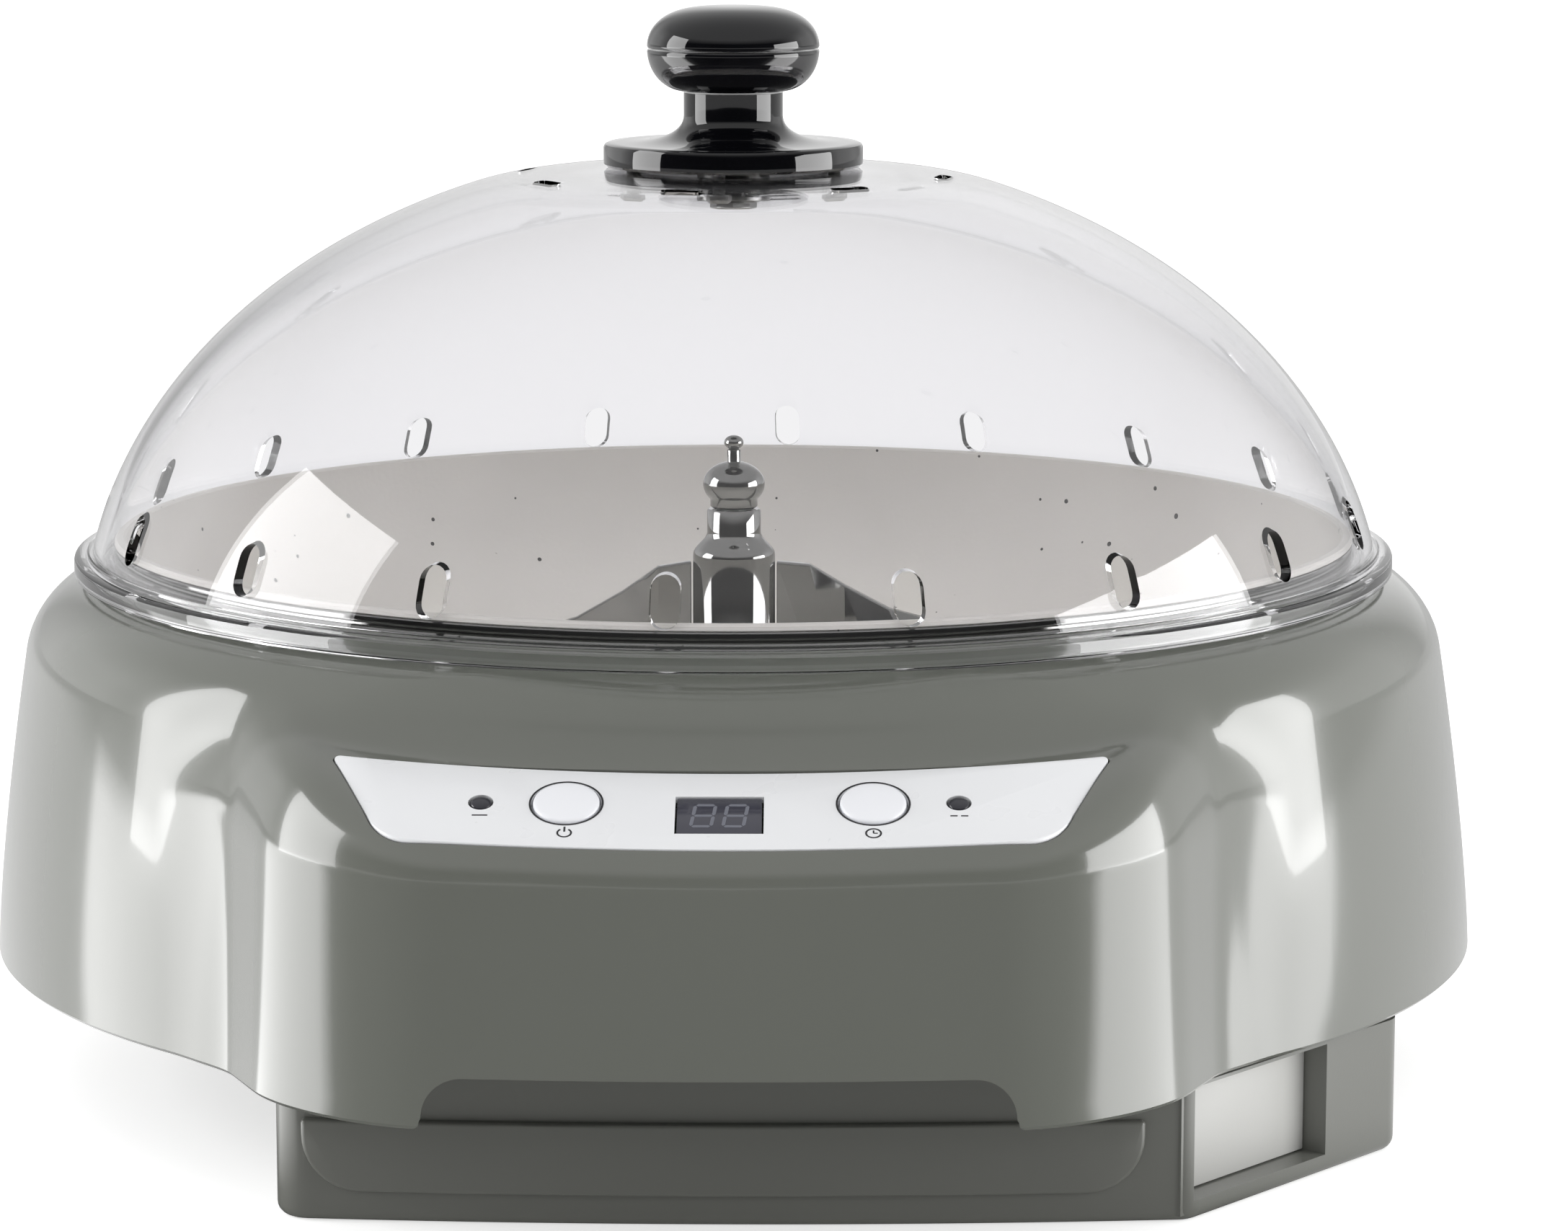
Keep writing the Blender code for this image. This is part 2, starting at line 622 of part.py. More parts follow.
panel_pocket = prism("panel_pocket", panel_outline(SEAT_GAP), recess_floor, CUT_OVERRUN, None, panel_frame)
cut(body_shell, panel_pocket)
control_panel = prism("control_panel", panel_outline(0), panel_under, panel_top, panel_white, panel_frame)
window_hole = rectangle(-WINDOW_WIDTH / 2, WINDOW_WIDTH / 2, window_low, window_high)
window_block = rectangle(
    -WINDOW_WIDTH / 2 - SEAT_GAP, WINDOW_WIDTH / 2 + SEAT_GAP, window_low - SEAT_GAP, window_high + SEAT_GAP
)
cut(control_panel, prism("window_cutter", window_hole, -CUT_OVERRUN, CUT_OVERRUN, None, panel_frame))
cut(body_shell, prism("block_cutter", window_block, -CUT_OVERRUN, recess_floor + SEAT_GAP, None, panel_frame))
for label, side in control_sides:
    spot = (side * BUTTON_OFFSET, BUTTON_RISE)
    cut(control_panel, prism("button_cutter", disc(spot, button_hole, 24), -CUT_OVERRUN, CUT_OVERRUN, None, panel_frame))
    well = disc(spot, flange_radius + SLIDE_GAP, 20)
    cut(body_shell, prism("button_well", well, -CUT_OVERRUN, recess_floor + SEAT_GAP, None, panel_frame))
    profile = [
        (0, stem_end),
        (BUTTON_STEM_RADIUS, stem_end),
        (BUTTON_STEM_RADIUS, flange_top - BUTTON_FLANGE_THICKNESS),
        (flange_radius, flange_top - BUTTON_FLANGE_THICKNESS),
        (flange_radius, flange_top),
        (BUTTON_RADIUS, flange_top),
        (BUTTON_RADIUS, BUTTON_PROUD / 2),
        (BUTTON_RADIUS - BUTTON_PROUD, BUTTON_PROUD),
        (0, BUTTON_PROUD),
    ]
    turned(f"{label}_button", profile, 24, button_white, panel_frame, (*spot, 0))
    half = SWITCH_WIDTH / 2
    body = rectangle(spot[0] - half, spot[0] + half, spot[1] - half, spot[1] + half)
    prism(f"{label}_switch", body, part_foot, switch_top, switch_black, panel_frame)
for label, side in lamp_sides:
    spot = (side * LAMP_OFFSET, LAMP_RISE)
    hole = disc(spot, LAMP_RADIUS + SEAT_GAP, 16)
    cut(control_panel, prism("lamp_cutter", hole, -CUT_OVERRUN, CUT_OVERRUN, None, panel_frame))
    cut(body_shell, prism("lamp_well", hole, -CUT_OVERRUN, recess_floor + SEAT_GAP, None, panel_frame))
    dome = [*arc((0, -LAMP_RADIUS), LAMP_RADIUS, 0, math.pi / 2, 3)[:-1], (0, 0)]
    turned(f"{label}_lamp", [(0, part_foot), (LAMP_RADIUS, part_foot), *dome], 12, lamp_dark, panel_frame, (*spot, 0))

lens = rectangle(
    -WINDOW_WIDTH / 2 + SEAT_GAP, WINDOW_WIDTH / 2 - SEAT_GAP, window_low + SEAT_GAP, window_high - SEAT_GAP
)
prism("display_window", lens, panel_under, panel_top - SEAT_GAP / 2, dark_lens, panel_frame)
prism("display_block", lens, part_foot, panel_under - SEAT_GAP, switch_black, panel_frame)

# Board and the pegs it hangs from
board_sides = rectangle(-BOARD_HALF_WIDTH, BOARD_HALF_WIDTH, BOARD_RISE, BOARD_RISE + BOARD_HEIGHT)
control_board = prism("control_board", board_sides, board_top - BOARD_THICKNESS, board_top, board_green, panel_frame)
board_under = board_top - BOARD_THICKNESS
for side_name, side in (("left", -1), ("right", 1)):
    spot = (side * PEG_OFFSET, PEG_RISE)
    peg_top = recess_floor - (SHELL_WALL + recess_floor) / 2
    join(body_shell, prism("board_peg", disc(spot, PEG_RADIUS, 10), part_foot, peg_top, None, panel_frame))
    pilot = disc(spot, SMALL_SCREW_RADIUS + SEAT_GAP, 8)
    pilot_end = board_under + SMALL_SCREW_LENGTH
    cut(body_shell, prism("peg_pilot", pilot, part_foot - CUT_OVERRUN, pilot_end, None, panel_frame))
    cut(control_board, prism("board_hole", pilot, board_under - CUT_OVERRUN, CUT_OVERRUN - BOARD_DEPTH, None, panel_frame))
    screw(
        f"board_screw_{side_name}",
        SMALL_SCREW_RADIUS,
        SMALL_SCREW_HEAD,
        SMALL_SCREW_HEAD_HEIGHT,
        SMALL_SCREW_LENGTH,
        plain_steel,
        panel_frame,
        (*spot, board_under - SEAT_GAP),
    )


# Base: a tray with a bowed front and a wing at the right
def bowed(half_left, half_right, front, front_side, steps):
    """Points along a bowed front edge, from left to right."""
    points = []
    for step in range(steps + 1):
        share = step / steps
        x = -half_left + (half_left + half_right) * share
        points.append((x, -front + (front - front_side) * (2 * share - 1) ** 2))
    return points


def rounded_corner(before, corner, after, radius, steps):
    """An arc in place of one corner of an outline."""
    a = (Vector(before) - Vector(corner)).normalized()
    b = (Vector(after) - Vector(corner)).normalized()
    half = a.angle(b) / 2
    centre = Vector(corner) + (a + b).normalized() * radius / math.sin(half)
    first = Vector(corner) + a * radius / math.tan(half) - centre
    sweep = math.pi - 2 * half
    if a.x * b.y - a.y * b.x > 0:
        sweep = -sweep
    start = math.atan2(first.y, first.x)
    return arc(centre, radius, start, start + sweep, steps)


def base_outline():
    front = bowed(BASE_LEFT, BASE_RIGHT, BASE_FRONT, BASE_FRONT_SIDE, 8)
    corners = [
        (WING_REACH, -WING_FRONT),
        (WING_REACH, WING_REAR),
        (BASE_RIGHT, BASE_REAR),
        (-BASE_LEFT, BASE_REAR),
        front[0],
    ]
    loop = [front[-1], *corners, front[1]]
    outline = front[1:]
    for index, corner in enumerate(corners, 1):
        outline += rounded_corner(loop[index - 1], corner, loop[index + 1], BASE_CORNER_RADIUS, 3)
    return outline


def base_mesh():
    bm = prism_mesh(base_outline(), 0, BASE_TOP_HEIGHT)
    bmesh.ops.recalc_face_normals(bm, faces=bm.faces)
    bottom = min(bm.faces, key=lambda face: face.calc_center_median().z)
    bmesh.ops.bevel(
        bm, geom=list(bottom.edges), offset=BASE_BOTTOM_RADIUS, segments=2, profile=0.5, affect="EDGES", material=-1
    )
    top = max(bm.faces, key=lambda face: face.calc_center_median().z)
    bmesh.ops.inset_region(bm, faces=[top], thickness=BASE_WALL, use_even_offset=True)
    pushed = bmesh.ops.extrude_face_region(bm, geom=[top])
    lowered = [item for item in pushed["geom"] if isinstance(item, bmesh.types.BMVert)]
    bmesh.ops.translate(bm, verts=lowered, vec=(0, 0, BASE_FLOOR - BASE_TOP_HEIGHT))
    bmesh.ops.delete(bm, geom=[top], context="FACES")
    return bm


base_housing = add_object("base_housing", base_mesh(), base_plastic)

# Room for the shell's skirt where the wing reaches under it
skirt_inside = hem_radius - SHELL_WALL - SKIRT_CLEARANCE
skirt_low = HEM_HEIGHT - SKIRT_CLEARANCE
skirt_room = [
    (skirt_inside, skirt_low),
    (hem_radius + CUT_OVERRUN, skirt_low),
    (hem_radius + CUT_OVERRUN, BASE_TOP_HEIGHT + CUT_OVERRUN),
    (skirt_inside, BASE_TOP_HEIGHT + CUT_OVERRUN),
]
cut(base_housing, turned("skirt_cutter", skirt_room, 48, None))

# Step block across the front, with rounded lower corners
step_radius = STEP_CORNER_RADIUS
step_face = [(-STEP_HALF_WIDTH, STEP_TOP)]
step_face += arc((-STEP_HALF_WIDTH + step_radius, STEP_BOTTOM + step_radius), step_radius, math.pi, 1.5 * math.pi, 4)
step_face += arc((STEP_HALF_WIDTH - step_radius, STEP_BOTTOM + step_radius), step_radius, -math.pi / 2, 0, 4)
step_face += [(STEP_HALF_WIDTH, STEP_TOP)]
step_block = prism("step_block", step_face, BASE_FRONT - STEP_SHELF, BASE_FRONT + STEP_PROUD + CUT_OVERRUN, None)
step_block.rotation_euler = (math.pi / 2, 0, 0)
step_bow = bowed(STEP_HALF_WIDTH, STEP_HALF_WIDTH, BASE_FRONT + STEP_PROUD, BASE_FRONT_SIDE + STEP_PROUD, 8)
step_back = BASE_FRONT_SIDE - BASE_WALL / 2
step_slab = prism("step_slab", [*step_bow, (STEP_HALF_WIDTH, -step_back), (-STEP_HALF_WIDTH, -step_back)], 0, BASE_TOP_HEIGHT, None)
combine(step_slab, step_block, "INTERSECT")
join(base_housing, step_slab)

# Recess in the wing, with its bare plate
wing_start = Vector((BASE_RIGHT, -BASE_FRONT_SIDE))
wing_end = Vector((WING_REACH, -WING_FRONT))
wing_turn = math.atan2(wing_end.y - wing_start.y, wing_end.x - wing_start.x)
wing_frame = add_frame("wing_frame", (*wing_start, 0), (0, 0, wing_turn))
recess_high = RECESS_BOTTOM + RECESS_HEIGHT
recess_end = RECESS_START + RECESS_WIDTH
lining = rectangle(RECESS_START - BASE_WALL, recess_end + BASE_WALL, BASE_WALL / 2, RECESS_DEPTH + BASE_WALL)
join(
    base_housing,
    prism("recess_lining", lining, BASE_FLOOR / 2, recess_high + BASE_WALL, None, wing_frame),
)
recess = rectangle(RECESS_START, recess_end, -CUT_OVERRUN, RECESS_DEPTH)
cut(base_housing, prism("recess_cutter", recess, RECESS_BOTTOM, recess_high, None, wing_frame))
plate = rectangle(
    RECESS_START + SEAT_GAP,
    recess_end - SEAT_GAP,
    RECESS_DEPTH - SEAT_GAP - RECESS_PLATE_THICKNESS,
    RECESS_DEPTH - SEAT_GAP,
)
prism("side_recess_plate", plate, RECESS_BOTTOM + SEAT_GAP, recess_high - SEAT_GAP, plate_plastic, wing_frame)

# Sockets for the shell's posts, with the screws that come up through them
seat_height = BASE_SCREW_HEAD_HEIGHT + 2 * SEAT_GAP
for name, place in zip(post_names, post_places):
    join(base_housing, prism("post_socket", disc(place, POST_SOCKET_RADIUS, 12), BASE_FLOOR / 2, POST_SOCKET_HEIGHT, None))
for name, place in zip(post_names, post_places):
    bore = disc(place, BASE_SCREW_RADIUS + SEAT_GAP, 8)
    cut(base_housing, prism("socket_bore", bore, -CUT_OVERRUN, POST_SOCKET_HEIGHT + CUT_OVERRUN, None))
    counterbore = disc(place, BASE_SCREW_HEAD + SEAT_GAP, 12)
    cut(base_housing, prism("head_bore", counterbore, -CUT_OVERRUN, seat_height, None))
    head_top = (*place, seat_height - SEAT_GAP)
    length = BASE_SCREW_LENGTH + post_bottom - seat_height - SEAT_GAP
    screw(
        f"base_screw_{name}", BASE_SCREW_RADIUS, BASE_SCREW_HEAD, BASE_SCREW_HEAD_HEIGHT, length, plain_steel, None, head_top
    )

# Rubber feet
foot_chamfer = FOOT_THICKNESS / 4
foot_names = iter(post_names)
for sx in (-1, 1):
    for sy in (-1, 1):
        place = (sx * FOOT_ACROSS, sy * FOOT_ALONG)
        recess_disc = disc(place, FOOT_RADIUS + SEAT_GAP, 16)
        cut(base_housing, prism("foot_cutter", recess_disc, -CUT_OVERRUN, FOOT_THICKNESS + SEAT_GAP, None))
        profile = [
            (0, 0),
            (FOOT_RADIUS - foot_chamfer, 0),
            (FOOT_RADIUS, foot_chamfer),
            (FOOT_RADIUS, FOOT_THICKNESS),
            (0, FOOT_THICKNESS),
        ]
        turned(f"foot_{next(foot_names)}", profile, 16, rubber_black, None, (*place, 0))

# Cable gland in the rear wall
gland_outer = GLAND_BORE + GLAND_WALL
gland_flange = gland_outer + GLAND_FLANGE_WIDTH
gland_inside = -BASE_WALL - SEAT_GAP - GLAND_FLANGE_THICKNESS / 2
gland_profile = [
    (GLAND_BORE, gland_inside),
    (gland_outer, gland_inside),
    (gland_outer, SEAT_GAP),
    (gland_flange, SEAT_GAP),
    (gland_flange, SEAT_GAP + GLAND_FLANGE_THICKNESS),
    (gland_outer, SEAT_GAP + 2 * GLAND_FLANGE_THICKNESS),
    (GLAND_BORE, SEAT_GAP + 2 * GLAND_FLANGE_THICKNESS),
]
gland_frame = add_frame("gland_frame", (0, BASE_REAR, GLAND_HEIGHT), (-math.pi / 2, 0, 0))
turned("cable_gland", gland_profile, 16, rubber_black, gland_frame)
gland_hole = disc((0, 0), gland_outer + SEAT_GAP, 16)
cut(base_housing, prism("gland_cutter", gland_hole, -CUT_OVERRUN, CUT_OVERRUN, None, gland_frame))

# Geared motor on two bosses
motor_bottom = BASE_FLOOR + MOTOR_LIFT
ear_bottom = motor_bottom + MOTOR_HEIGHT
ear_top = ear_bottom + MOTOR_EAR_THICKNESS
motor_nose_top = ear_top + MOTOR_NOSE_HEIGHT
socket_radius = SHAFT_RADIUS + SEAT_GAP
shaft_bottom = motor_nose_top - SHAFT_SOCKET_DEPTH + SEAT_GAP
motor_edge = MOTOR_RADIUS - MOTOR_EAR_THICKNESS
motor_profile = [
    (0, motor_bottom),
    (motor_edge, motor_bottom),
    (MOTOR_RADIUS, motor_bottom + MOTOR_EAR_THICKNESS),
    (MOTOR_RADIUS, ear_top),
    (MOTOR_NOSE_RADIUS, ear_top),
    (MOTOR_NOSE_RADIUS, motor_nose_top),
    (socket_radius, motor_nose_top),
    (socket_radius, motor_nose_top - SHAFT_SOCKET_DEPTH),
    (0, motor_nose_top - SHAFT_SOCKET_DEPTH),
]
gear_motor = turned("gear_motor", motor_profile, 20, plain_steel)
ear_end = MOTOR_EAR_WIDTH / 2
ear_outline = arc((MOTOR_EAR_REACH, 0), ear_end, -math.pi / 2, math.pi / 2, 6)
ear_outline += arc((-MOTOR_EAR_REACH, 0), ear_end, math.pi / 2, 1.5 * math.pi, 6)
ear_plate = prism("motor_ears", ear_outline, ear_bottom, ear_top - SEAT_GAP, None)
cut(ear_plate, prism("ear_middle", disc((0, 0), MOTOR_RADIUS - MOTOR_EAR_THICKNESS, 12), 0, DECK_HEIGHT, None))
join(gear_motor, ear_plate)
for side_name, side in (("left", -1), ("right", 1)):
    spot = (side * MOTOR_EAR_REACH, 0)
    boss = disc(spot, MOTOR_BOSS_RADIUS, 12)
    join(base_housing, prism("motor_boss", boss, BASE_FLOOR / 2, ear_bottom - SEAT_GAP, None))
    pilot = disc(spot, MOTOR_SCREW_RADIUS + SEAT_GAP, 8)
    cut(base_housing, prism("boss_pilot", pilot, ear_bottom - MOTOR_SCREW_LENGTH, ear_top + CUT_OVERRUN, None))
    cut(gear_motor, prism("ear_hole", pilot, motor_bottom, ear_top + CUT_OVERRUN, None))
    screw(
        f"motor_screw_{side_name}",
        MOTOR_SCREW_RADIUS,
        MOTOR_SCREW_HEAD,
        MOTOR_SCREW_HEAD_HEIGHT,
        MOTOR_SCREW_LENGTH - SEAT_GAP,
        plain_steel,
        None,
        (*spot, ear_top),
        upward=False,
    )

# Heating element under the pan: a ring whose ends turn down
element_height = pan_under - SEAT_GAP - ELEMENT_TUBE_RADIUS
shield_under = BASE_TOP_HEIGHT + (element_height - BASE_TOP_HEIGHT) * SHIELD_LIFT_SHARE
shield_floor_top = shield_under + SHIELD_WALL
clamp_top = element_height - ELEMENT_TUBE_RADIUS + CLAMP_GRIP


def element_route():
    """Points along the element: down, round the bend, the ring, and down again."""
    start = ELEMENT_GAP_ANGLE
    bend_angle = ELEMENT_BEND / ELEMENT_RADIUS
    half = []
    for share in (1.0, 0.5, 0.0):
        half.append((start - bend_angle, element_height - ELEMENT_BEND - ELEMENT_TAIL * share / 2))
    for step in range(1, 4):
        turn = math.pi / 2 * step / 4
        half.append((start - bend_angle * math.cos(turn), element_height - ELEMENT_BEND * (1 - math.sin(turn))))
    span = math.tau - 2 * start
    ring = [(start + span * step / ELEMENT_STEPS, element_height) for step in range(ELEMENT_STEPS + 1)]
    other = [(math.tau - angle, height) for angle, height in reversed(half)]
    route = half + ring + other
    return [(ELEMENT_RADIUS * math.cos(a), ELEMENT_RADIUS * math.sin(a), height) for a, height in route]


def element_mesh(route):
    """A round tube along a route on an upright cylinder, closed at both ends."""
    bm = bmesh.new()
    rings = []
    for index, place in enumerate(route):
        here = Vector(place)
        before = Vector(route[max(index - 1, 0)])
        after = Vector(route[min(index + 1, len(route) - 1)])
        outward = Vector((here.x, here.y, 0)).normalized()
        across = (after - before).cross(outward).normalized()
        turns = disc((0, 0), ELEMENT_TUBE_RADIUS, ELEMENT_SIDES)
        rings.append([bm.verts.new(here + outward * u + across * v) for u, v in turns])
    for ring, following in zip(rings, rings[1:]):
        for side in range(ELEMENT_SIDES):
            after = (side + 1) % ELEMENT_SIDES
            bm.faces.new((ring[side], ring[after], following[after], following[side]))
    bm.faces.new(rings[0])
    bm.faces.new(rings[-1])
    return bm


add_object("heating_element", element_mesh(element_route()), plain_steel)

# Heat shield on three posts, and the clamps that carry the element
shield_rim = SHIELD_RADIUS - SHIELD_RIM_HEIGHT / 2
shield_profile = [
    (SHIELD_HOLE_RADIUS, shield_under),
    (shield_rim, shield_under),
    (SHIELD_RADIUS, shield_under + SHIELD_RIM_HEIGHT),
    (SHIELD_RADIUS - SHIELD_WALL, shield_under + SHIELD_RIM_HEIGHT),
    (shield_rim - SHIELD_WALL, shield_floor_top),
    (SHIELD_HOLE_RADIUS, shield_floor_top),
]
heat_shield = turned("heat_shield", shield_profile, 28, sheet_steel)
for index in range(CLAMP_COUNT):
    turn = SHIELD_POST_FIRST_ANGLE + math.tau * index / CLAMP_COUNT
    spot = (SHIELD_POST_RING * math.cos(turn), SHIELD_POST_RING * math.sin(turn))
    boss = disc(spot, SHIELD_POST_RADIUS, 10)
    join(base_housing, prism("shield_boss", boss, BASE_FLOOR / 2, shield_under - SEAT_GAP, None))
    pilot = disc(spot, MOTOR_SCREW_RADIUS + SEAT_GAP, 8)
    cut(base_housing, prism("shield_pilot", pilot, shield_under - MOTOR_SCREW_LENGTH, shield_under + CUT_OVERRUN, None))
    cut(heat_shield, prism("shield_hole", pilot, shield_under - CUT_OVERRUN, shield_floor_top + CUT_OVERRUN, None))
    screw(
        f"shield_screw_{index + 1}",
        MOTOR_SCREW_RADIUS,
        MOTOR_SCREW_HEAD,
        MOTOR_SCREW_HEAD_HEIGHT,
        MOTOR_SCREW_LENGTH - SEAT_GAP,
        plain_steel,
        None,
        (*spot, shield_floor_top + SEAT_GAP),
        upward=False,
    )
    clamp_turn = turn + math.pi / CLAMP_COUNT
    clamp_frame = add_frame(f"clamp_frame_{index + 1}", (0, 0, 0), (0, 0, clamp_turn))
    sides = rectangle(
        ELEMENT_RADIUS - CLAMP_WIDTH / 2, ELEMENT_RADIUS + CLAMP_WIDTH / 2, -CLAMP_LENGTH / 2, CLAMP_LENGTH / 2
    )
    low = shield_floor_top + SEAT_GAP
    clamp = prism(f"element_clamp_{index + 1}", sides, low, clamp_top, sheet_steel, clamp_frame)
    groove_radius = ELEMENT_TUBE_RADIUS + 2 * SEAT_GAP
    groove = prism("clamp_groove", disc((0, 0), groove_radius, 12), -CLAMP_LENGTH, CLAMP_LENGTH, None, clamp_frame)
    groove.rotation_euler = (math.pi / 2, 0, 0)
    groove.location = (ELEMENT_RADIUS, 0, element_height)
    cut(clamp, groove)

thermostat_top = pan_under - SEAT_GAP
thermostat_step = THERMOSTAT_HEIGHT / 2
thermostat_profile = [
    (0, thermostat_top - THERMOSTAT_HEIGHT),
    (THERMOSTAT_RADIUS * 0.8, thermostat_top - THERMOSTAT_HEIGHT),
    (THERMOSTAT_RADIUS * 0.8, thermostat_top - thermostat_step),
    (THERMOSTAT_RADIUS, thermostat_top - thermostat_step),
    (THERMOSTAT_RADIUS, thermostat_top),
    (0, thermostat_top),
]
turned("thermostat", thermostat_profile, 20, plain_steel, None, (0, THERMOSTAT_OFFSET, 0))


# Pan, collar and bush
def bowl(offset, top, steps):
    """The pan's side from its flat floor up to a height, grown outwards by an offset."""
    across = PAN_RADIUS - PAN_FLOOR_RADIUS + offset
    rise = pan_depth + offset
    low = pan_floor - offset
    last = math.acos(1 - (top - low) / rise)
    turns = [last * step / steps for step in range(steps + 1)]
    return [(PAN_FLOOR_RADIUS + across * math.sin(t), low + rise * (1 - math.cos(t))) for t in turns]


bush_radius = SHAFT_RADIUS + SEAT_GAP + BUSH_WALL
hole_radius = bush_radius + SEAT_GAP
boss_top = pan_floor + PAN_BOSS_HEIGHT
pan_profile = [
    (hole_radius, boss_top),
    (PAN_BOSS_RADIUS, boss_top),
    (PAN_BOSS_RADIUS + PAN_BOSS_FOOT, pan_floor),
    *bowl(0, rim_top, 5),
    (pan_rim_radius, rim_top),
    (pan_rim_radius, rim_top - PAN_RIM_DEPTH),
    *reversed(bowl(PAN_WALL, rim_top - PAN_RIM_DEPTH, 5)),
    (PAN_BOSS_RADIUS + PAN_BOSS_FOOT - PAN_WALL / 2, pan_under),
    (PAN_BOSS_RADIUS - PAN_WALL / 2, boss_top - PAN_WALL),
    (hole_radius, boss_top - PAN_WALL),
]
turned("roasting_pan", pan_profile, PAN_STEPS, pan_coating)

collar_top = rim_top - PAN_RIM_DEPTH - SEAT_GAP
collar_outer = collar_radius + COLLAR_WALL
foot_edge = collar_outer + COLLAR_FOOT_WIDTH
collar_profile = [
    (collar_radius, collar_foot_bottom - COLLAR_DROP),
    (collar_outer, collar_foot_bottom - COLLAR_DROP),
    (collar_outer, collar_foot_bottom),
    (foot_edge, collar_foot_bottom),
    (foot_edge, collar_foot_bottom + COLLAR_FOOT_THICKNESS),
    (collar_outer, collar_foot_bottom + COLLAR_FOOT_THICKNESS),
    (collar_outer, collar_top),
    (collar_radius, collar_top),
]
turned("pan_collar", collar_profile, PAN_STEPS, polished_steel)

bush_bore = SHAFT_RADIUS + SEAT_GAP
bush_top = boss_top + SEAT_GAP + BUSH_FLANGE_THICKNESS
bush_profile = [
    (bush_bore, boss_top - BUSH_TAIL),
    (bush_radius, boss_top - BUSH_TAIL),
    (bush_radius, boss_top + SEAT_GAP),
    (bush_radius + BUSH_FLANGE_WIDTH, boss_top + SEAT_GAP),
    (bush_radius + BUSH_FLANGE_WIDTH, bush_top),
    (bush_bore, bush_top),
]
turned("shaft_bush", bush_profile, 16, brass)

# Stirrer: shaft, hub, two blades and the cap nut
hub_bottom = bush_top + HUB_LIFT
hub_flange_top = hub_bottom + HUB_FLANGE_THICKNESS
hub_top = hub_bottom + HUB_HEIGHT
neck_bottom = hub_top - HUB_NECK_HEIGHT
hub_profile = [
    (bush_bore, hub_bottom),
    (HUB_FLANGE_RADIUS, hub_bottom),
    (HUB_FLANGE_RADIUS, hub_flange_top),
    (HUB_RADIUS, hub_flange_top),
    (HUB_RADIUS, neck_bottom - HUB_NECK_HEIGHT),
    (HUB_NECK_RADIUS, neck_bottom),
    (HUB_NECK_RADIUS, hub_top),
    (bush_bore, hub_top),
]
turned("stirrer_hub", hub_profile, 18, polished_steel, stirrer_frame)
nut_bottom = hub_top + SEAT_GAP
thread_top = nut_bottom + NUT_HEIGHT / 2
shaft_profile = [
    (0, shaft_bottom),
    (SHAFT_RADIUS, shaft_bottom),
    (SHAFT_RADIUS, hub_top),
    (THREAD_RADIUS, hub_top),
    (THREAD_RADIUS, thread_top),
    (0, thread_top),
]
turned("drive_shaft", shaft_profile, 16, plain_steel, stirrer_frame)
nut_bore = THREAD_RADIUS + SEAT_GAP
nut_crown = nut_bottom + NUT_HEIGHT
nut_middle = nut_bottom + NUT_HEIGHT / 2
nut_dome = [
    (NUT_RADIUS * math.cos(turn), nut_middle + NUT_HEIGHT / 2 * math.sin(turn))
    for turn in [math.radians(angle) for angle in (-40, -20, 0, 20, 40, 60)]
]
neck_top = nut_crown + NUT_NECK_HEIGHT
nut_profile = [
    (nut_bore, nut_bottom),
    (NUT_FOOT_RADIUS, nut_bottom),
    *nut_dome,
    (NUT_NECK_RADIUS, nut_crown),
    (NUT_NECK_RADIUS, neck_top),
    (NUT_TIP_RADIUS, neck_top + NUT_TIP_RADIUS / 2),
    (NUT_TIP_RADIUS, neck_top + NUT_TIP_RADIUS),
    (NUT_NECK_RADIUS, neck_top + NUT_TIP_RADIUS * 1.5),
    (0, neck_top + NUT_TIP_RADIUS * 1.5),
    (0, thread_top + SEAT_GAP),
    (nut_bore, thread_top + SEAT_GAP),
]
turned("stirrer_cap_nut", nut_profile, 16, polished_steel, stirrer_frame)


def pan_surface(radius):
    """Height of the pan's inner surface at a radius."""
    if radius <= PAN_FLOOR_RADIUS:
        return pan_floor
    share = (radius - PAN_FLOOR_RADIUS) / (PAN_RADIUS - PAN_FLOOR_RADIUS)
    return pan_floor + pan_depth * (1 - math.sqrt(max(0, 1 - share * share)))


def share_at(table, where):
    """Read a table of (place, value) shares between its rows."""
    for (left, low), (right, high) in zip(table, table[1:]):
        if where <= right:
            return low + (high - low) * (where - left) / (right - left)
    return table[-1][1]


def blade_mesh():
    """A paddle lofted from four-point sections: upright at the hub, leaning further out."""
    bm = bmesh.new()
    root = HUB_RADIUS + SEAT_GAP
    foot_edge_radius = PAN_BOSS_RADIUS + PAN_BOSS_FOOT + BLADE_CLEARANCE
    stations = [root, HUB_FLANGE_RADIUS + BLADE_CLEARANCE, foot_edge_radius]
    stations += [foot_edge_radius + (BLADE_REACH - foot_edge_radius) * step / 10 for step in range(1, 11)]
    rings = []
    for radius in stations:
        share = (radius - root) / (BLADE_REACH - root)
        bottom = pan_surface(radius + BLADE_CLEARANCE) + BLADE_CLEARANCE
        if radius < foot_edge_radius:
            bottom = hub_flange_top + SEAT_GAP
        height = BLADE_ROOT_HEIGHT * share_at(BLADE_HEIGHT_SHARES, share)
        top = max(bottom, hub_flange_top * (1 - share) + bottom * share) + height
        lean = BLADE_LEAN * min(1, 3 * share)
        half = BLADE_THICKNESS / 2
        shift = (top - bottom) * math.tan(lean)
        places = [(-half, bottom), (half, bottom), (half + shift, top), (-half + shift, top)]
        rings.append([bm.verts.new((radius, y, z)) for y, z in places])
    for ring, following in zip(rings, rings[1:]):
        for corner in range(4):
            after = (corner + 1) % 4
            bm.faces.new((ring[corner], ring[after], following[after], following[corner]))
    bm.faces.new(rings[0])
    bm.faces.new(rings[-1])
    return bm


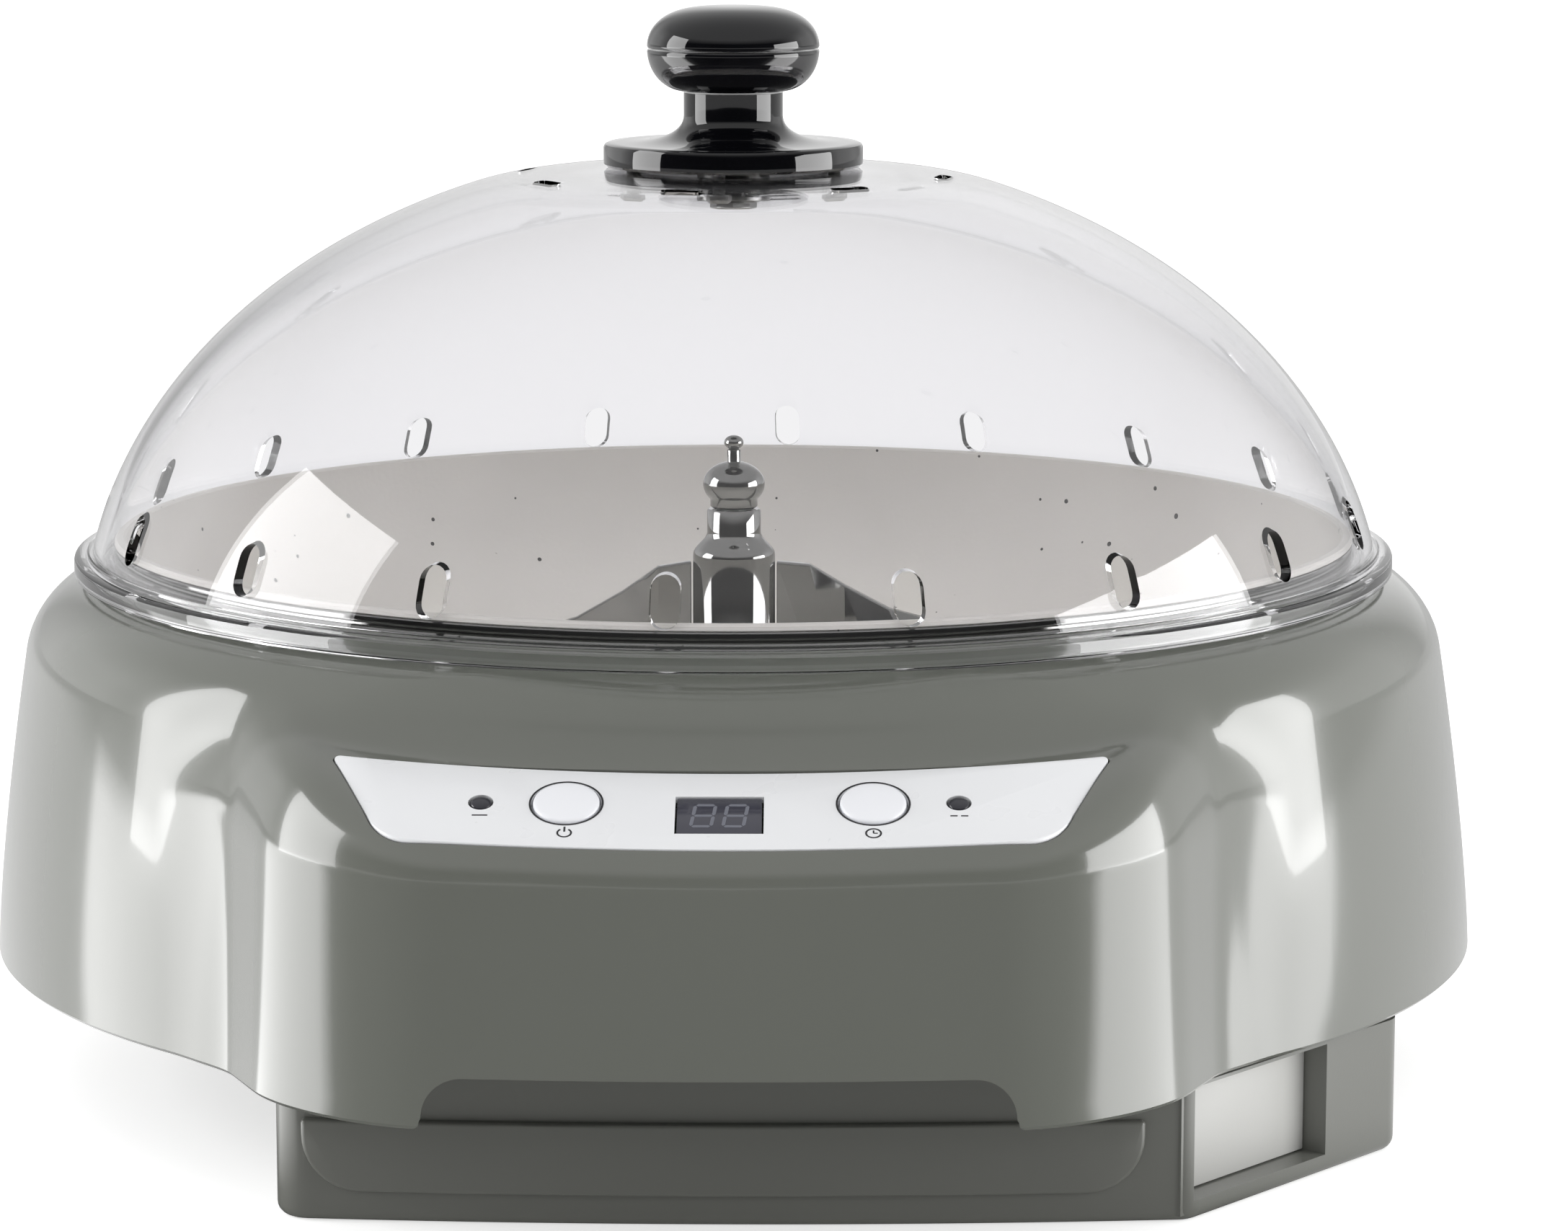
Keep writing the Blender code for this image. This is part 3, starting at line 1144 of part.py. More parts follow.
for side_name, turn in (("right", 0), ("left", math.pi)):
    blade = add_object(f"stirrer_blade_{side_name}", blade_mesh(), polished_steel, stirrer_frame)
    blade.rotation_euler = (0, 0, turn)


# Lid
def dome_skin(inset, low, high, steps):
    """The dome's turned curve between two heights, rising, set in by a wall."""
    wide = dome_radius - inset
    tall = DOME_HEIGHT - inset
    first = ((low - dome_foot) / tall) ** DOME_POWER
    last = ((high - dome_foot) / tall) ** DOME_POWER
    start = math.asin(math.sqrt(first))
    end = math.asin(math.sqrt(last))
    points = []
    for step in range(steps + 1):
        turn = start + (end - start) * step / steps
        radius = wide * math.cos(turn) ** (2 / DOME_POWER)
        points.append((radius, dome_foot + tall * math.sin(turn) ** (2 / DOME_POWER)))
    return points


flange_top_height = flange_bottom + FLANGE_THICKNESS
step_height = flange_top_height + FLANGE_STEP_HEIGHT
outer_skin = dome_skin(0, step_height, crown_top, 8)
inner_skin = dome_skin(DOME_WALL, flange_bottom, crown_under, 6)
flange_edge = inner_skin[0][0] + FLANGE_WIDTH
screw_bore = KNOB_SCREW_RADIUS + SEAT_GAP
lid_profile = [
    inner_skin[0],
    (flange_edge, flange_bottom),
    (flange_edge, flange_top_height),
    (flange_edge - FLANGE_STEP_WIDTH, flange_top_height),
    (flange_edge - FLANGE_STEP_WIDTH, step_height),
    *outer_skin,
    (screw_bore, crown_top),
    (screw_bore, crown_under),
    *reversed(inner_skin[1:]),
]
lid_local = [(radius, height - flange_bottom) for radius, height in lid_profile]
dome_lid = turned("dome_lid", lid_local, LID_STEPS, clear_dome, lid_frame)


def slot_mesh(length, width, low, high, cap_steps):
    """A prism with round ends, long way along X."""
    run = (length - width) / 2
    outline = arc((run, 0), width / 2, -math.pi / 2, math.pi / 2, cap_steps)
    outline += arc((-run, 0), width / 2, math.pi / 2, 1.5 * math.pi, cap_steps)
    return prism_mesh(outline, low, high)


def ring_cutter(name, count, first_angle, slot, placing):
    """Copies of a slot, turned round the axis, as one cutter."""
    bm = bmesh.new()
    for index in range(count):
        part = slot()
        part.transform(Matrix.Rotation(first_angle + math.tau * index / count, 4, "Z") @ placing)
        mesh = bpy.data.meshes.new(name)
        part.to_mesh(mesh)
        part.free()
        bm.from_mesh(mesh)
        bpy.data.meshes.remove(mesh)
    return add_object(name, bm, None)


vent_height = flange_bottom + VENT_LIFT
vent_radius = dome_skin(0, vent_height, crown_top, 1)[0][0]
reach = 2 * DOME_WALL + VENT_HEIGHT / 2
upright = Matrix.Translation((vent_radius, 0, vent_height)) @ Matrix.Rotation(math.pi / 2, 4, "Y")
side_vents = ring_cutter(
    "side_vents", VENT_COUNT, VENT_FIRST_ANGLE, lambda: slot_mesh(VENT_HEIGHT, VENT_WIDTH, -reach, reach, 3), upright
)
vent_crown = crown_top - CROWN_WALL / 2
level = Matrix.Translation((TOP_VENT_RING, 0, vent_crown))
top_reach = 3 * CROWN_WALL
top_vents = ring_cutter(
    "top_vents",
    TOP_VENT_COUNT,
    TOP_VENT_FIRST_ANGLE,
    lambda: slot_mesh(TOP_VENT_LENGTH, TOP_VENT_WIDTH, -top_reach, top_reach, 2),
    level @ Matrix.Rotation(math.pi / 2, 4, "Z"),
)
cut(dome_lid, side_vents, top_vents)

# Knob: plate with stem, lower ball, cap above the parting line
plate_bottom = crown_top + SEAT_GAP
plate_edge_top = plate_bottom + KNOB_PLATE_EDGE
stem_foot = plate_edge_top + KNOB_PLATE_RISE
stem_top = stem_foot + KNOB_STEM_HEIGHT / 2
edge_round = KNOB_PLATE_EDGE / 10
knob_bore_top = crown_under + KNOB_SCREW_LENGTH + SEAT_GAP
stem_profile = [
    (screw_bore, plate_bottom),
    (KNOB_PLATE_RADIUS - edge_round, plate_bottom),
    (KNOB_PLATE_RADIUS, plate_bottom + edge_round),
    (KNOB_PLATE_RADIUS, plate_edge_top - edge_round),
    (KNOB_PLATE_RADIUS - edge_round, plate_edge_top),
    ((KNOB_PLATE_RADIUS + KNOB_STEM_FOOT) / 2, plate_edge_top + KNOB_PLATE_RISE * 0.35),
    (KNOB_STEM_FOOT + KNOB_PLATE_RISE / 3, plate_edge_top + KNOB_PLATE_RISE * 0.7),
    (KNOB_STEM_FOOT - KNOB_PLATE_RISE / 5, stem_foot + KNOB_PLATE_RISE / 3),
    (KNOB_STEM_RADIUS, stem_foot + KNOB_PLATE_RISE),
    (KNOB_STEM_RADIUS, stem_top),
    (0, stem_top),
    (0, knob_bore_top),
    (screw_bore, knob_bore_top),
]
knob_parts_z = [(radius, height - flange_bottom) for radius, height in stem_profile]
knob_base = turned("knob_base", knob_parts_z, 24, black_gloss, lid_frame)
ball_bottom = stem_top + SEAT_GAP
parting = ball_bottom + KNOB_BALL_DEPTH
ball_curve = [
    (KNOB_BALL_RADIUS - (KNOB_BALL_RADIUS - KNOB_STEM_RADIUS) * (1 - math.cos(turn)), parting - KNOB_BALL_DEPTH * math.sin(turn))
    for turn in [math.pi / 2 * step / 5 for step in range(5, -1, -1)]
]
ball_profile = [(0, ball_bottom), *ball_curve, (0, parting)]
turned("knob_ball", [(r, z - flange_bottom) for r, z in ball_profile], 24, black_gloss, lid_frame)
cap_bottom = parting + SEAT_GAP
cap_curve = [
    (KNOB_BALL_RADIUS * math.cos(turn) ** 0.6, cap_bottom + KNOB_CAP_HEIGHT * math.sin(turn))
    for turn in [math.pi / 2 * step / 6 for step in range(6)]
]
cap_profile = [(0, cap_bottom), *cap_curve, (0, cap_bottom + KNOB_CAP_HEIGHT)]
turned("knob_cap", [(r, z - flange_bottom) for r, z in cap_profile], 24, black_gloss, lid_frame)

# Screws and washer under the crown
washer_top = crown_under - SEAT_GAP - flange_bottom
washer_under = washer_top - KNOB_WASHER_THICKNESS
washer_profile = [
    (screw_bore, washer_under),
    (KNOB_WASHER_RADIUS, washer_under),
    (KNOB_WASHER_RADIUS, washer_top),
    (screw_bore, washer_top),
]
turned("knob_washer", washer_profile, 20, plain_steel, lid_frame)
head_top = washer_under - SEAT_GAP
screw_length = knob_bore_top - SEAT_GAP - flange_bottom - head_top
screw("knob_screw", KNOB_SCREW_RADIUS, KNOB_SCREW_HEAD, KNOB_SCREW_HEAD_HEIGHT, screw_length, plain_steel, lid_frame, (0, 0, head_top))
for index in range(PLATE_SCREW_COUNT):
    turn = PLATE_SCREW_FIRST_ANGLE + math.tau * index / PLATE_SCREW_COUNT
    spot = (PLATE_SCREW_RING * math.cos(turn), PLATE_SCREW_RING * math.sin(turn))
    hole = disc(spot, PLATE_SCREW_RADIUS + SEAT_GAP, 8)
    hole_top = crown_under + PLATE_SCREW_LENGTH + SEAT_GAP
    cut(dome_lid, prism("crown_hole", hole, crown_under - CUT_OVERRUN, crown_top + CUT_OVERRUN, None))
    cut(knob_base, prism("plate_pilot", hole, plate_bottom - CUT_OVERRUN, hole_top, None))
    screw(
        f"knob_plate_screw_{index + 1}",
        PLATE_SCREW_RADIUS,
        PLATE_SCREW_HEAD,
        PLATE_SCREW_HEAD_HEIGHT,
        PLATE_SCREW_LENGTH,
        plain_steel,
        lid_frame,
        (*spot, crown_under - SEAT_GAP - flange_bottom),
    )
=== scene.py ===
import json
import bpy
import bmesh
import numpy as np
from math import acos, asin, atan2, cos, hypot, pi, radians, sin, sqrt, tan, tau
from mathutils import Matrix, Vector


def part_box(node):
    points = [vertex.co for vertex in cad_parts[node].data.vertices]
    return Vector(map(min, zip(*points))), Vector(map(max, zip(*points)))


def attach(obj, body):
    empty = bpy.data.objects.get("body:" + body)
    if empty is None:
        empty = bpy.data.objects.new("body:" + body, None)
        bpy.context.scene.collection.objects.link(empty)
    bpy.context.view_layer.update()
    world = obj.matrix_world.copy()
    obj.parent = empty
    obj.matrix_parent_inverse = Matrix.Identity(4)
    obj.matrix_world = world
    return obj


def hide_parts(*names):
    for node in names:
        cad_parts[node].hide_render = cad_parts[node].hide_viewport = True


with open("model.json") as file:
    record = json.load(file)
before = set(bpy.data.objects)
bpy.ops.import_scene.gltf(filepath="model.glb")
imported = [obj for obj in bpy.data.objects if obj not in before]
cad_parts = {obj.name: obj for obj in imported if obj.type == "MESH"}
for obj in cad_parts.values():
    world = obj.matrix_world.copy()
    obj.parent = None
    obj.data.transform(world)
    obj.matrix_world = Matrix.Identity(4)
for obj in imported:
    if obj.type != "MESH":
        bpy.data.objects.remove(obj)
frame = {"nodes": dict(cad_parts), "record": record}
scene = bpy.context.scene
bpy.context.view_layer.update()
nodes = frame["nodes"]
record = frame["record"]
slotOfNode = {entry["node"]: entry["material_slot"] for entry in record["subparts"]}
bodyOfNode = {node: body for body, members in record["behaviour"]["bodies"].items() for node in members}
mm = 0.001
print("frame loaded")


# Settings that are written in millimetres, as metres
def lengths(**sizes):
    return {name: size * mm for name, size in sizes.items()}


# Materials: a small way of writing node maths as sums
class Wire:
    def __init__(self, graph, socket):
        self.graph = graph
        self.socket = socket

    def sum(self, operation, first, second=0.0, clamp=False):
        settings = {"operation": operation, "use_clamp": clamp}
        return self.graph.add("ShaderNodeMath", settings, {0: first, 1: second})

    def __add__(self, other):
        return self.sum("ADD", self, other)

    def __radd__(self, other):
        return self.sum("ADD", other, self)

    def __sub__(self, other):
        return self.sum("SUBTRACT", self, other)

    def __mul__(self, other):
        return self.sum("MULTIPLY", self, other)

    def __gt__(self, other):
        return self.sum("GREATER_THAN", self, other)

    def __lt__(self, other):
        return self.sum("LESS_THAN", self, other)


class Graph:
    def __init__(self, tree):
        self.tree = tree

    def add(self, kind, settings=None, values=None, output=0):
        node = self.tree.nodes.new(kind)
        for key, value in (settings or {}).items():
            if key == "stops":
                while len(node.color_ramp.elements) < len(value):
                    node.color_ramp.elements.new(1.0)
                for element, (position, colour) in zip(node.color_ramp.elements, value):
                    element.position = position
                    element.color = (*colour, 1.0)
            else:
                setattr(node, key, value)
        for key, value in (values or {}).items():
            self.feed(node.inputs[key], value)
        return Wire(self, node.outputs[output])

    def path(self, output):
        return self.add("ShaderNodeLightPath", output=output)

    def vector(self, operation, first, second=(0.0, 0.0, 0.0), output=0):
        return self.add("ShaderNodeVectorMath", {"operation": operation}, {0: first, 1: second}, output)

    def blend(self, share, first, second):
        return self.add("ShaderNodeMix", {"data_type": "RGBA"}, {0: share, 6: first, 7: second}, 2)

    def feed(self, socket, value):
        if isinstance(value, Wire):
            self.tree.links.new(value.socket, socket)
        else:
            socket.default_value = value


class Finish(Graph):
    def __init__(self, name, **sockets):
        self.material = bpy.data.materials.new(name)
        self.material.use_nodes = True
        super().__init__(self.material.node_tree)
        self.shader = self.tree.nodes["Principled BSDF"]
        self.place = self.add("ShaderNodeTexCoord", output="Object")
        self.set(**sockets)

    def set(self, **sockets):
        for key, value in sockets.items():
            self.feed(self.shader.inputs[key.replace("_", " ")], value)
        return self

    def noise(self, scale, detail=2.0, stretch=None):
        place = self.place
        if stretch:
            place = self.add("ShaderNodeMapping", None, {"Vector": self.place, "Scale": stretch}, "Vector")
        return self.add("ShaderNodeTexNoise", None, {"Vector": place, "Scale": scale, "Detail": detail}, 0)

    def mixColour(self, share, first, second):
        return self.blend(share, (*first, 1.0), (*second, 1.0))

    # Two tints of a colour, mixed by a cloud
    def mottle(self, colour, low, high, scale, detail):
        cloud = self.noise(scale, detail)
        return self.mixColour(cloud, tinted(colour, low), tinted(colour, high))

    def bump(self, height, depth):
        values = {"Height": height, "Distance": depth, "Strength": 1.0}
        return self.add("ShaderNodeBump", None, values, "Normal")


# Screen colour from 0 to 255, as linear light
def linear(red, green, blue):
    shares = [value / 255 for value in (red, green, blue)]
    return tuple(s / 12.92 if s <= 0.04045 else ((s + 0.055) / 1.055) ** 2.4 for s in shares)


def tinted(colour, share):
    return tuple(min(1.0, value * share) for value in colour)


def mouldedPlastic(name, colour, roughness, coat, grain):
    finish = Finish(name, Coat_Roughness=0.04, Specular_IOR_Level=0.5)
    finish.set(Base_Color=finish.mottle(colour, 0.98, 1.02, 38.0, 3.0))
    finish.set(Roughness=roughness + (finish.noise(130.0) - 0.5) * 0.04, Coat_Weight=coat)
    finish.set(Normal=finish.bump(finish.noise(1400.0, 1.0), grain * mm))
    return finish.material


def clearPlastic(name, colour):
    finish = Finish(name, Transmission_Weight=1.0, IOR=1.47, Specular_IOR_Level=0.5)
    finish.set(Base_Color=finish.mottle(colour, 0.995, 1.0, 24.0, 2.0))
    finish.set(Roughness=finish.noise(60.0) * 0.015)
    return finish.material


specks = {"scale": 230.0, "size": 0.22, "least": 0.08, "bareShare": 0.42, "colour": (0.02, 0.018, 0.016, 1.0)}


# Pale non-stick coating with scattered dark specks
def coatedPan(name, colour):
    finish = Finish(name, Specular_IOR_Level=0.5)
    mottled = finish.mottle(colour, 0.93, 1.06, 30.0, 3.0)
    places = {"Vector": finish.place, "Scale": specks["scale"]}
    cells = finish.add("ShaderNodeTexVoronoi", None, places, "Distance")
    tone = finish.add("ShaderNodeTexVoronoi", None, places, "Color")
    shade = finish.add("ShaderNodeSeparateColor", None, {"Color": tone}, 0)
    inCells = cells < shade * specks["size"] - specks["least"]
    shown = inCells * (finish.noise(45.0) > specks["bareShare"])
    finish.set(Base_Color=finish.blend(shown, mottled, specks["colour"]))
    finish.set(Roughness=0.42 + finish.noise(200.0) * 0.12)
    finish.set(Normal=finish.bump(finish.noise(900.0, 2.0), 0.04 * mm))
    return finish.material


def metal(name, colour, roughness, grain, scale=600.0, stretch=None):
    finish = Finish(name, Metallic=1.0)
    finish.set(Base_Color=finish.mottle(colour, 0.93, 1.05, 25.0, 2.0))
    finish.set(Roughness=roughness + finish.noise(90.0, 2.0, stretch) * roughness * 0.6)
    finish.set(Normal=finish.bump(finish.noise(scale, 2.0, stretch), grain * mm))
    return finish.material


def blackGloss(name):
    finish = Finish(name, Coat_Roughness=0.02, Specular_IOR_Level=0.5)
    cloud = finish.noise(60.0, 2.0)
    finish.set(Base_Color=finish.mixColour(cloud, (0.0012, 0.0014, 0.002), (0.003, 0.003, 0.004)))
    finish.set(Roughness=0.03 + finish.noise(220.0) * 0.02, Coat_Weight=0.4)
    finish.set(Normal=finish.bump(finish.noise(300.0, 1.0), 0.004 * mm))
    return finish.material


finishes = {
    "shell_grey": mouldedPlastic("shellGreyPlastic", linear(103, 105, 99), 0.16, 0.7, 0.006),
    "base_grey": mouldedPlastic("baseGreyPlastic", linear(106, 107, 102), 0.30, 0.2, 0.010),
    "plate_grey": mouldedPlastic("recessPlatePlastic", linear(184, 184, 181), 0.38, 0.0, 0.012),
    "panel_white": mouldedPlastic("panelWhite", linear(236, 237, 239), 0.28, 0.2, 0.004),
    "button_white": mouldedPlastic("buttonWhite", linear(243, 244, 248), 0.32, 0.1, 0.004),
    "dark_lens": mouldedPlastic("windowSmoke", linear(62, 62, 72), 0.16, 0.4, 0.002),
    "lamp_dark": mouldedPlastic("lampSmoke", linear(36, 36, 44), 0.22, 0.4, 0.002),
    "black_gloss": blackGloss("knobBlack"),
    "clear_dome": clearPlastic("domeClear", (0.985, 0.982, 0.996)),
    "pan_coating": coatedPan("panSpeckle", linear(193, 190, 185)),
    "polished_steel": metal("polishedSteel", linear(148, 148, 146), 0.04, 0.002),
    "plain_steel": metal("plainSteel", linear(185, 185, 183), 0.30, 0.010),
    "sheet_steel": metal("sheetSteel", linear(195, 195, 192), 0.36, 0.012, 400.0, (1.0, 6.0, 1.0)),
    "brass": metal("bushBrass", linear(205, 176, 118), 0.30, 0.008),
    "board_green": mouldedPlastic("boardGreen", linear(40, 92, 62), 0.45, 0.1, 0.010),
    "switch_black": mouldedPlastic("switchBlack", linear(30, 30, 31), 0.45, 0.0, 0.010),
    "rubber_black": mouldedPlastic("rubberBlack", linear(28, 28, 28), 0.75, 0.0, 0.030),
}
ringInk = mouldedPlastic("ringInk", linear(34, 34, 38), 0.40, 0.0, 0.004)
digitGrey = mouldedPlastic("digitGrey", linear(112, 114, 124), 0.35, 0.0, 0.002)
print("materials made")


# Making pieces
# Close a mesh, point it outwards and put it in the scene
def settle(name, bm, material, smoothAngle=30.0):
    bmesh.ops.remove_doubles(bm, verts=bm.verts, dist=0.0005 * mm)
    bmesh.ops.recalc_face_normals(bm, faces=bm.faces)
    mesh = bpy.data.meshes.new(name)
    bm.to_mesh(mesh)
    bm.free()
    mesh.shade_smooth()
    mesh.set_sharp_from_angle(angle=radians(smoothAngle))
    piece = bpy.data.objects.new(name, mesh)
    scene.collection.objects.link(piece)
    mesh.materials.append(material)
    return piece


# Let a piece ride with its body and take the place of CAD nodes
def stand(piece, *replaced, body=None, slot=None):
    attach(piece, body or bodyOfNode[replaced[0]])
    if replaced:
        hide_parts(*replaced)
    return piece


# A piece in the finish of the CAD node that it replaces
def make(name, bm, node, smoothAngle=30.0):
    return stand(settle(name, bm, finishes[slotOfNode[node]], smoothAngle), node)


# Spin an outline of (radius, height) points about the upright axis through a point
def spun(profile, steps, centre=(0, 0, 0)):
    bm = bmesh.new()
    line = [bm.verts.new((centre[0] + radius, centre[1], centre[2] + height)) for radius, height in profile]
    edges = [bm.edges.new(pair) for pair in zip(line, line[1:] + line[:1])]
    axisEdges = [edge for edge in edges if all(abs(vert.co.x - centre[0]) < 1e-7 for vert in edge.verts)]
    bmesh.ops.delete(bm, geom=axisEdges, context="EDGES")
    bmesh.ops.spin(
        bm, geom=bm.verts[:] + bm.edges[:], axis=(0, 0, 1), cent=centre, angle=tau, steps=steps,
        use_merge=True,
    )
    return bm


# An outline whose corners are replaced by arcs; a radius of 0 keeps the corner
def rounded(points, radii, steps=5):
    outline = []
    count = len(points)
    for index, radius in enumerate(radii):
        corner = Vector(points[index])
        if radius == 0:
            outline.append(tuple(corner))
            continue
        a = (Vector(points[index - 1]) - corner).normalized()
        b = (Vector(points[(index + 1) % count]) - corner).normalized()
        half = a.angle(b) / 2
        centre = corner + (a + b).normalized() * radius / sin(half)
        first = corner + a * radius / tan(half) - centre
        sweep = pi - 2 * half
        if a.x * b.y - a.y * b.x > 0:
            sweep = -sweep
        for step in range(steps + 1):
            turn = sweep * step / steps
            c, s = cos(turn), sin(turn)
            outline.append((centre.x + first.x * c - first.y * s, centre.y + first.x * s + first.y * c))
    return outline


def prism(outline, low, high):
    bm = bmesh.new()
    face = bm.faces.new([bm.verts.new((x, y, low)) for x, y in outline])
    grown = bmesh.ops.extrude_face_region(bm, geom=[face])
    tops = [item for item in grown["geom"] if isinstance(item, bmesh.types.BMVert)]
    bmesh.ops.translate(bm, verts=tops, vec=(0, 0, high - low))
    bmesh.ops.recalc_face_normals(bm, faces=bm.faces)
    return bm


def block3(xLow, xHigh, yLow, yHigh, zLow, zHigh):
    return prism([(xLow, yLow), (xHigh, yLow), (xHigh, yHigh), (xLow, yHigh)], zLow, zHigh)


def bevelled(bm, edges, width, segments, **settings):
    bmesh.ops.bevel(
        bm, geom=edges, offset=width, segments=segments, profile=0.5, affect="EDGES", material=-1, **settings
    )


# Bevel the edges between faces that meet sharply
def softened(bm, width, segments=2, upright=0.5, test=None):
    sharp = []
    for edge in bm.edges:
        if len(edge.link_faces) == 2 and edge.calc_face_angle() > upright and (test is None or test(edge)):
            sharp.append(edge)
    bevelled(bm, sharp, width, segments, clamp_overlap=True)
    return bm


def arc(x, y, radius, start, end, steps):
    turns = [start + (end - start) * step / steps for step in range(steps + 1)]
    return [(x + radius * cos(turn), y + radius * sin(turn)) for turn in turns]


def disc(x, y, radius, steps=48):
    first = pi / steps
    return arc(x, y, radius, first, tau + first, steps)[:-1]


# Several meshes as one
def merged(parts):
    whole = bmesh.new()
    for part in parts:
        mesh = bpy.data.meshes.new("part")
        part.to_mesh(mesh)
        part.free()
        whole.from_mesh(mesh)
        bpy.data.meshes.remove(mesh)
    return whole


# Cut a piece by a mesh, for good
def carve(piece, bm, operation="DIFFERENCE"):
    tool = settle("tool", bm, piece.data.materials[0])
    modifier = piece.modifiers.new("cut", "BOOLEAN")
    modifier.operation = operation
    modifier.solver = "EXACT"
    modifier.object = tool
    view = bpy.context.evaluated_depsgraph_get()
    made = bpy.data.meshes.new_from_object(piece.evaluated_get(view), depsgraph=view)
    piece.modifiers.clear()
    old = piece.data
    piece.data = made
    bpy.data.meshes.remove(old)
    bpy.data.objects.remove(tool)
    return piece


def smoothAgain(piece, angle=30.0):
    piece.data.shade_smooth()
    piece.data.set_sharp_from_angle(angle=radians(angle))
    return piece


# CAD nodes that keep their shape get their finish here
for nodeName, node in nodes.items():
    node.data.materials.clear()
    node.data.materials.append(finishes[slotOfNode[nodeName]])


# A merged, softened copy of a CAD node, for pieces whose form is already right
def finerCopy(node, width=0.15, angle=35.0):
    bm = bmesh.new()
    bm.from_mesh(nodes[node].data)
    bmesh.ops.remove_doubles(bm, verts=bm.verts, dist=0.001 * mm)
    bmesh.ops.dissolve_limit(bm, angle_limit=radians(1), verts=bm.verts, edges=bm.edges)
    piece = settle(node + ".fine", bm, finishes[slotOfNode[node]], angle)
    edge = piece.modifiers.new("edge", "BEVEL")
    edge.width = width * mm
    edge.segments = 2
    edge.limit_method = "ANGLE"
    edge.angle_limit = radians(50)
    edge.harden_normals = True
    return stand(piece, node)


# Body shell: the round skirt, the deck and the front nose in one skin
shell = lengths(
    lipRadius=121.0,
    openingRadius=119.5,
    hem=26.1,
    deck=98.3,
    lipTop=100.9,
    wall=2.8,
    shoulder=14.0,
    taper=8.9,
    noseReach=156.8,
    noseBow=480.0,
    sideReach=126.7,
    cornerRadius=20.0,
    edgeRadius=4.5,
    sideEdgeRadius=15.0,
    noseTop=74.0,
    panelSetback=4.6,
    noseHalfWidth=85.0,
    noseRear=60.0,
    crestDrop=7.5,
    crestRadius=10.0,
    valley=6.0,
    flatReach=129.3,
    flatBow=442.0,
    flatBlend=10.0,
)
shell.update(
    skirtRadius=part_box("body_shell")[1].x,
    taperPower=1.4,
    sideAngle=radians(66),
    draft=0.040,
    sideEdgePower=6,
    noseSlope=radians(24),
    coreShare=0.82,
    lipSteps=(0.12, 0.6),
    frontTurn=radians(50),
    ribs=300,
    outerRows=70,
    innerRows=14,
)


# Height outside the corner of two surfaces, the corner rounded
def smoothMeet(first, second, radius):
    p = first + radius
    q = second + radius
    return np.minimum(np.maximum(p, q), 0) + np.hypot(np.maximum(p, 0), np.maximum(q, 0)) - radius


def shellForm(x, y, z):
    s = shell
    riseShare = np.clip((z - s["hem"]) / (s["deck"] - s["hem"]), 0, 1)
    wall = np.hypot(x, y) - s["skirtRadius"] + s["taper"] * riseShare ** s["taperPower"]
    flat = -y - s["flatReach"] + x * x / (2 * s["flatBow"])
    roundPart = smoothMeet(smoothMeet(wall, flat, s["flatBlend"]), z - s["deck"], s["shoulder"])
    draft = s["draft"] * (z - s["hem"])
    front = -y - s["noseReach"] + x * x / (2 * s["noseBow"]) + draft
    side = np.abs(x) * sin(s["sideAngle"]) - y * cos(s["sideAngle"]) - s["sideReach"] + draft
    plan = smoothMeet(front, side, s["cornerRadius"])
    slope = s["noseSlope"]
    top = (z - s["noseTop"]) * cos(slope) - (y + s["noseReach"] - s["panelSetback"]) * sin(slope)
    sideShare = np.minimum(1, np.abs(x) / s["noseHalfWidth"])
    edge = s["edgeRadius"] + s["sideEdgeRadius"] * sideShare ** s["sideEdgePower"]
    crest = smoothMeet(top, z - s["deck"] + s["crestDrop"], s["crestRadius"])
    nose = smoothMeet(smoothMeet(plan, crest, edge), y + s["noseRear"], s["edgeRadius"])
    return -smoothMeet(-roundPart, -nose, s["valley"])


# Points where rays from inside meet the skin, or a depth below it
def reachSkin(start, direction, depth):
    near = np.zeros(len(direction))
    far = np.full(len(direction), 2 * shell["skirtRadius"])
    for _ in range(34):
        middle = (near + far) / 2
        inside = shellForm(*(start + direction * middle[:, None]).T) + depth < 0
        near = np.where(inside, middle, near)
        far = np.where(inside, far, middle)
    return start + direction * near[:, None]


# One closed section of the shell at an angle from the front
def shellRib(angle):
    s = shell
    outward = np.array([sin(angle), -cos(angle), 0.0])
    up = np.array([0.0, 0.0, 1.0])
    coreHeight = (s["hem"] + s["deck"]) / 2
    start = outward * s["lipRadius"] * s["coreShare"]
    core = start + up * coreHeight
    hemStart = start + up * s["hem"]
    skins = [(0.0, s["outerRows"], s["lipRadius"]), (s["wall"], s["innerRows"], s["openingRadius"])]
    sections = []
    for depth, rows, lip in skins:
        hem = reachSkin(hemStart, outward[None], depth)[0]
        crest = reachSkin(outward * lip + up * coreHeight, up[None], depth)[0]
        low = atan2(hem[2] - core[2], (hem - core) @ outward)
        high = atan2(crest[2] - core[2], (crest - core) @ outward)
        turns = low + (high - low) * np.arange(1, rows) / rows
        fan = np.cos(turns)[:, None] * outward + np.sin(turns)[:, None] * up
        sections.append(np.vstack([hem, reachSkin(core, fan, depth), crest]))
    outer, inner = sections
    rise = [s["deck"] + (s["lipTop"] - s["deck"]) * share for share in s["lipSteps"]]
    bead = (s["lipRadius"] - s["openingRadius"]) / 3
    lip = [outward * s["lipRadius"] + up * height for height in (*rise, s["lipTop"] - bead)]
    top = up * s["lipTop"]
    lip += [outward * (s["lipRadius"] - bead) + top, outward * (s["openingRadius"] + bead) + top]
    lip += [outward * s["openingRadius"] + up * (s["lipTop"] - bead)]
    rounding = s["wall"] / 4
    hemOuter = outer[0] + up * rounding
    hemInner = inner[0] + up * rounding
    foot = [inner[0] + outward * rounding, outer[0] - outward * rounding]
    return [hemOuter, *outer[1:], *lip, *inner[::-1][:-1], hemInner, *foot]


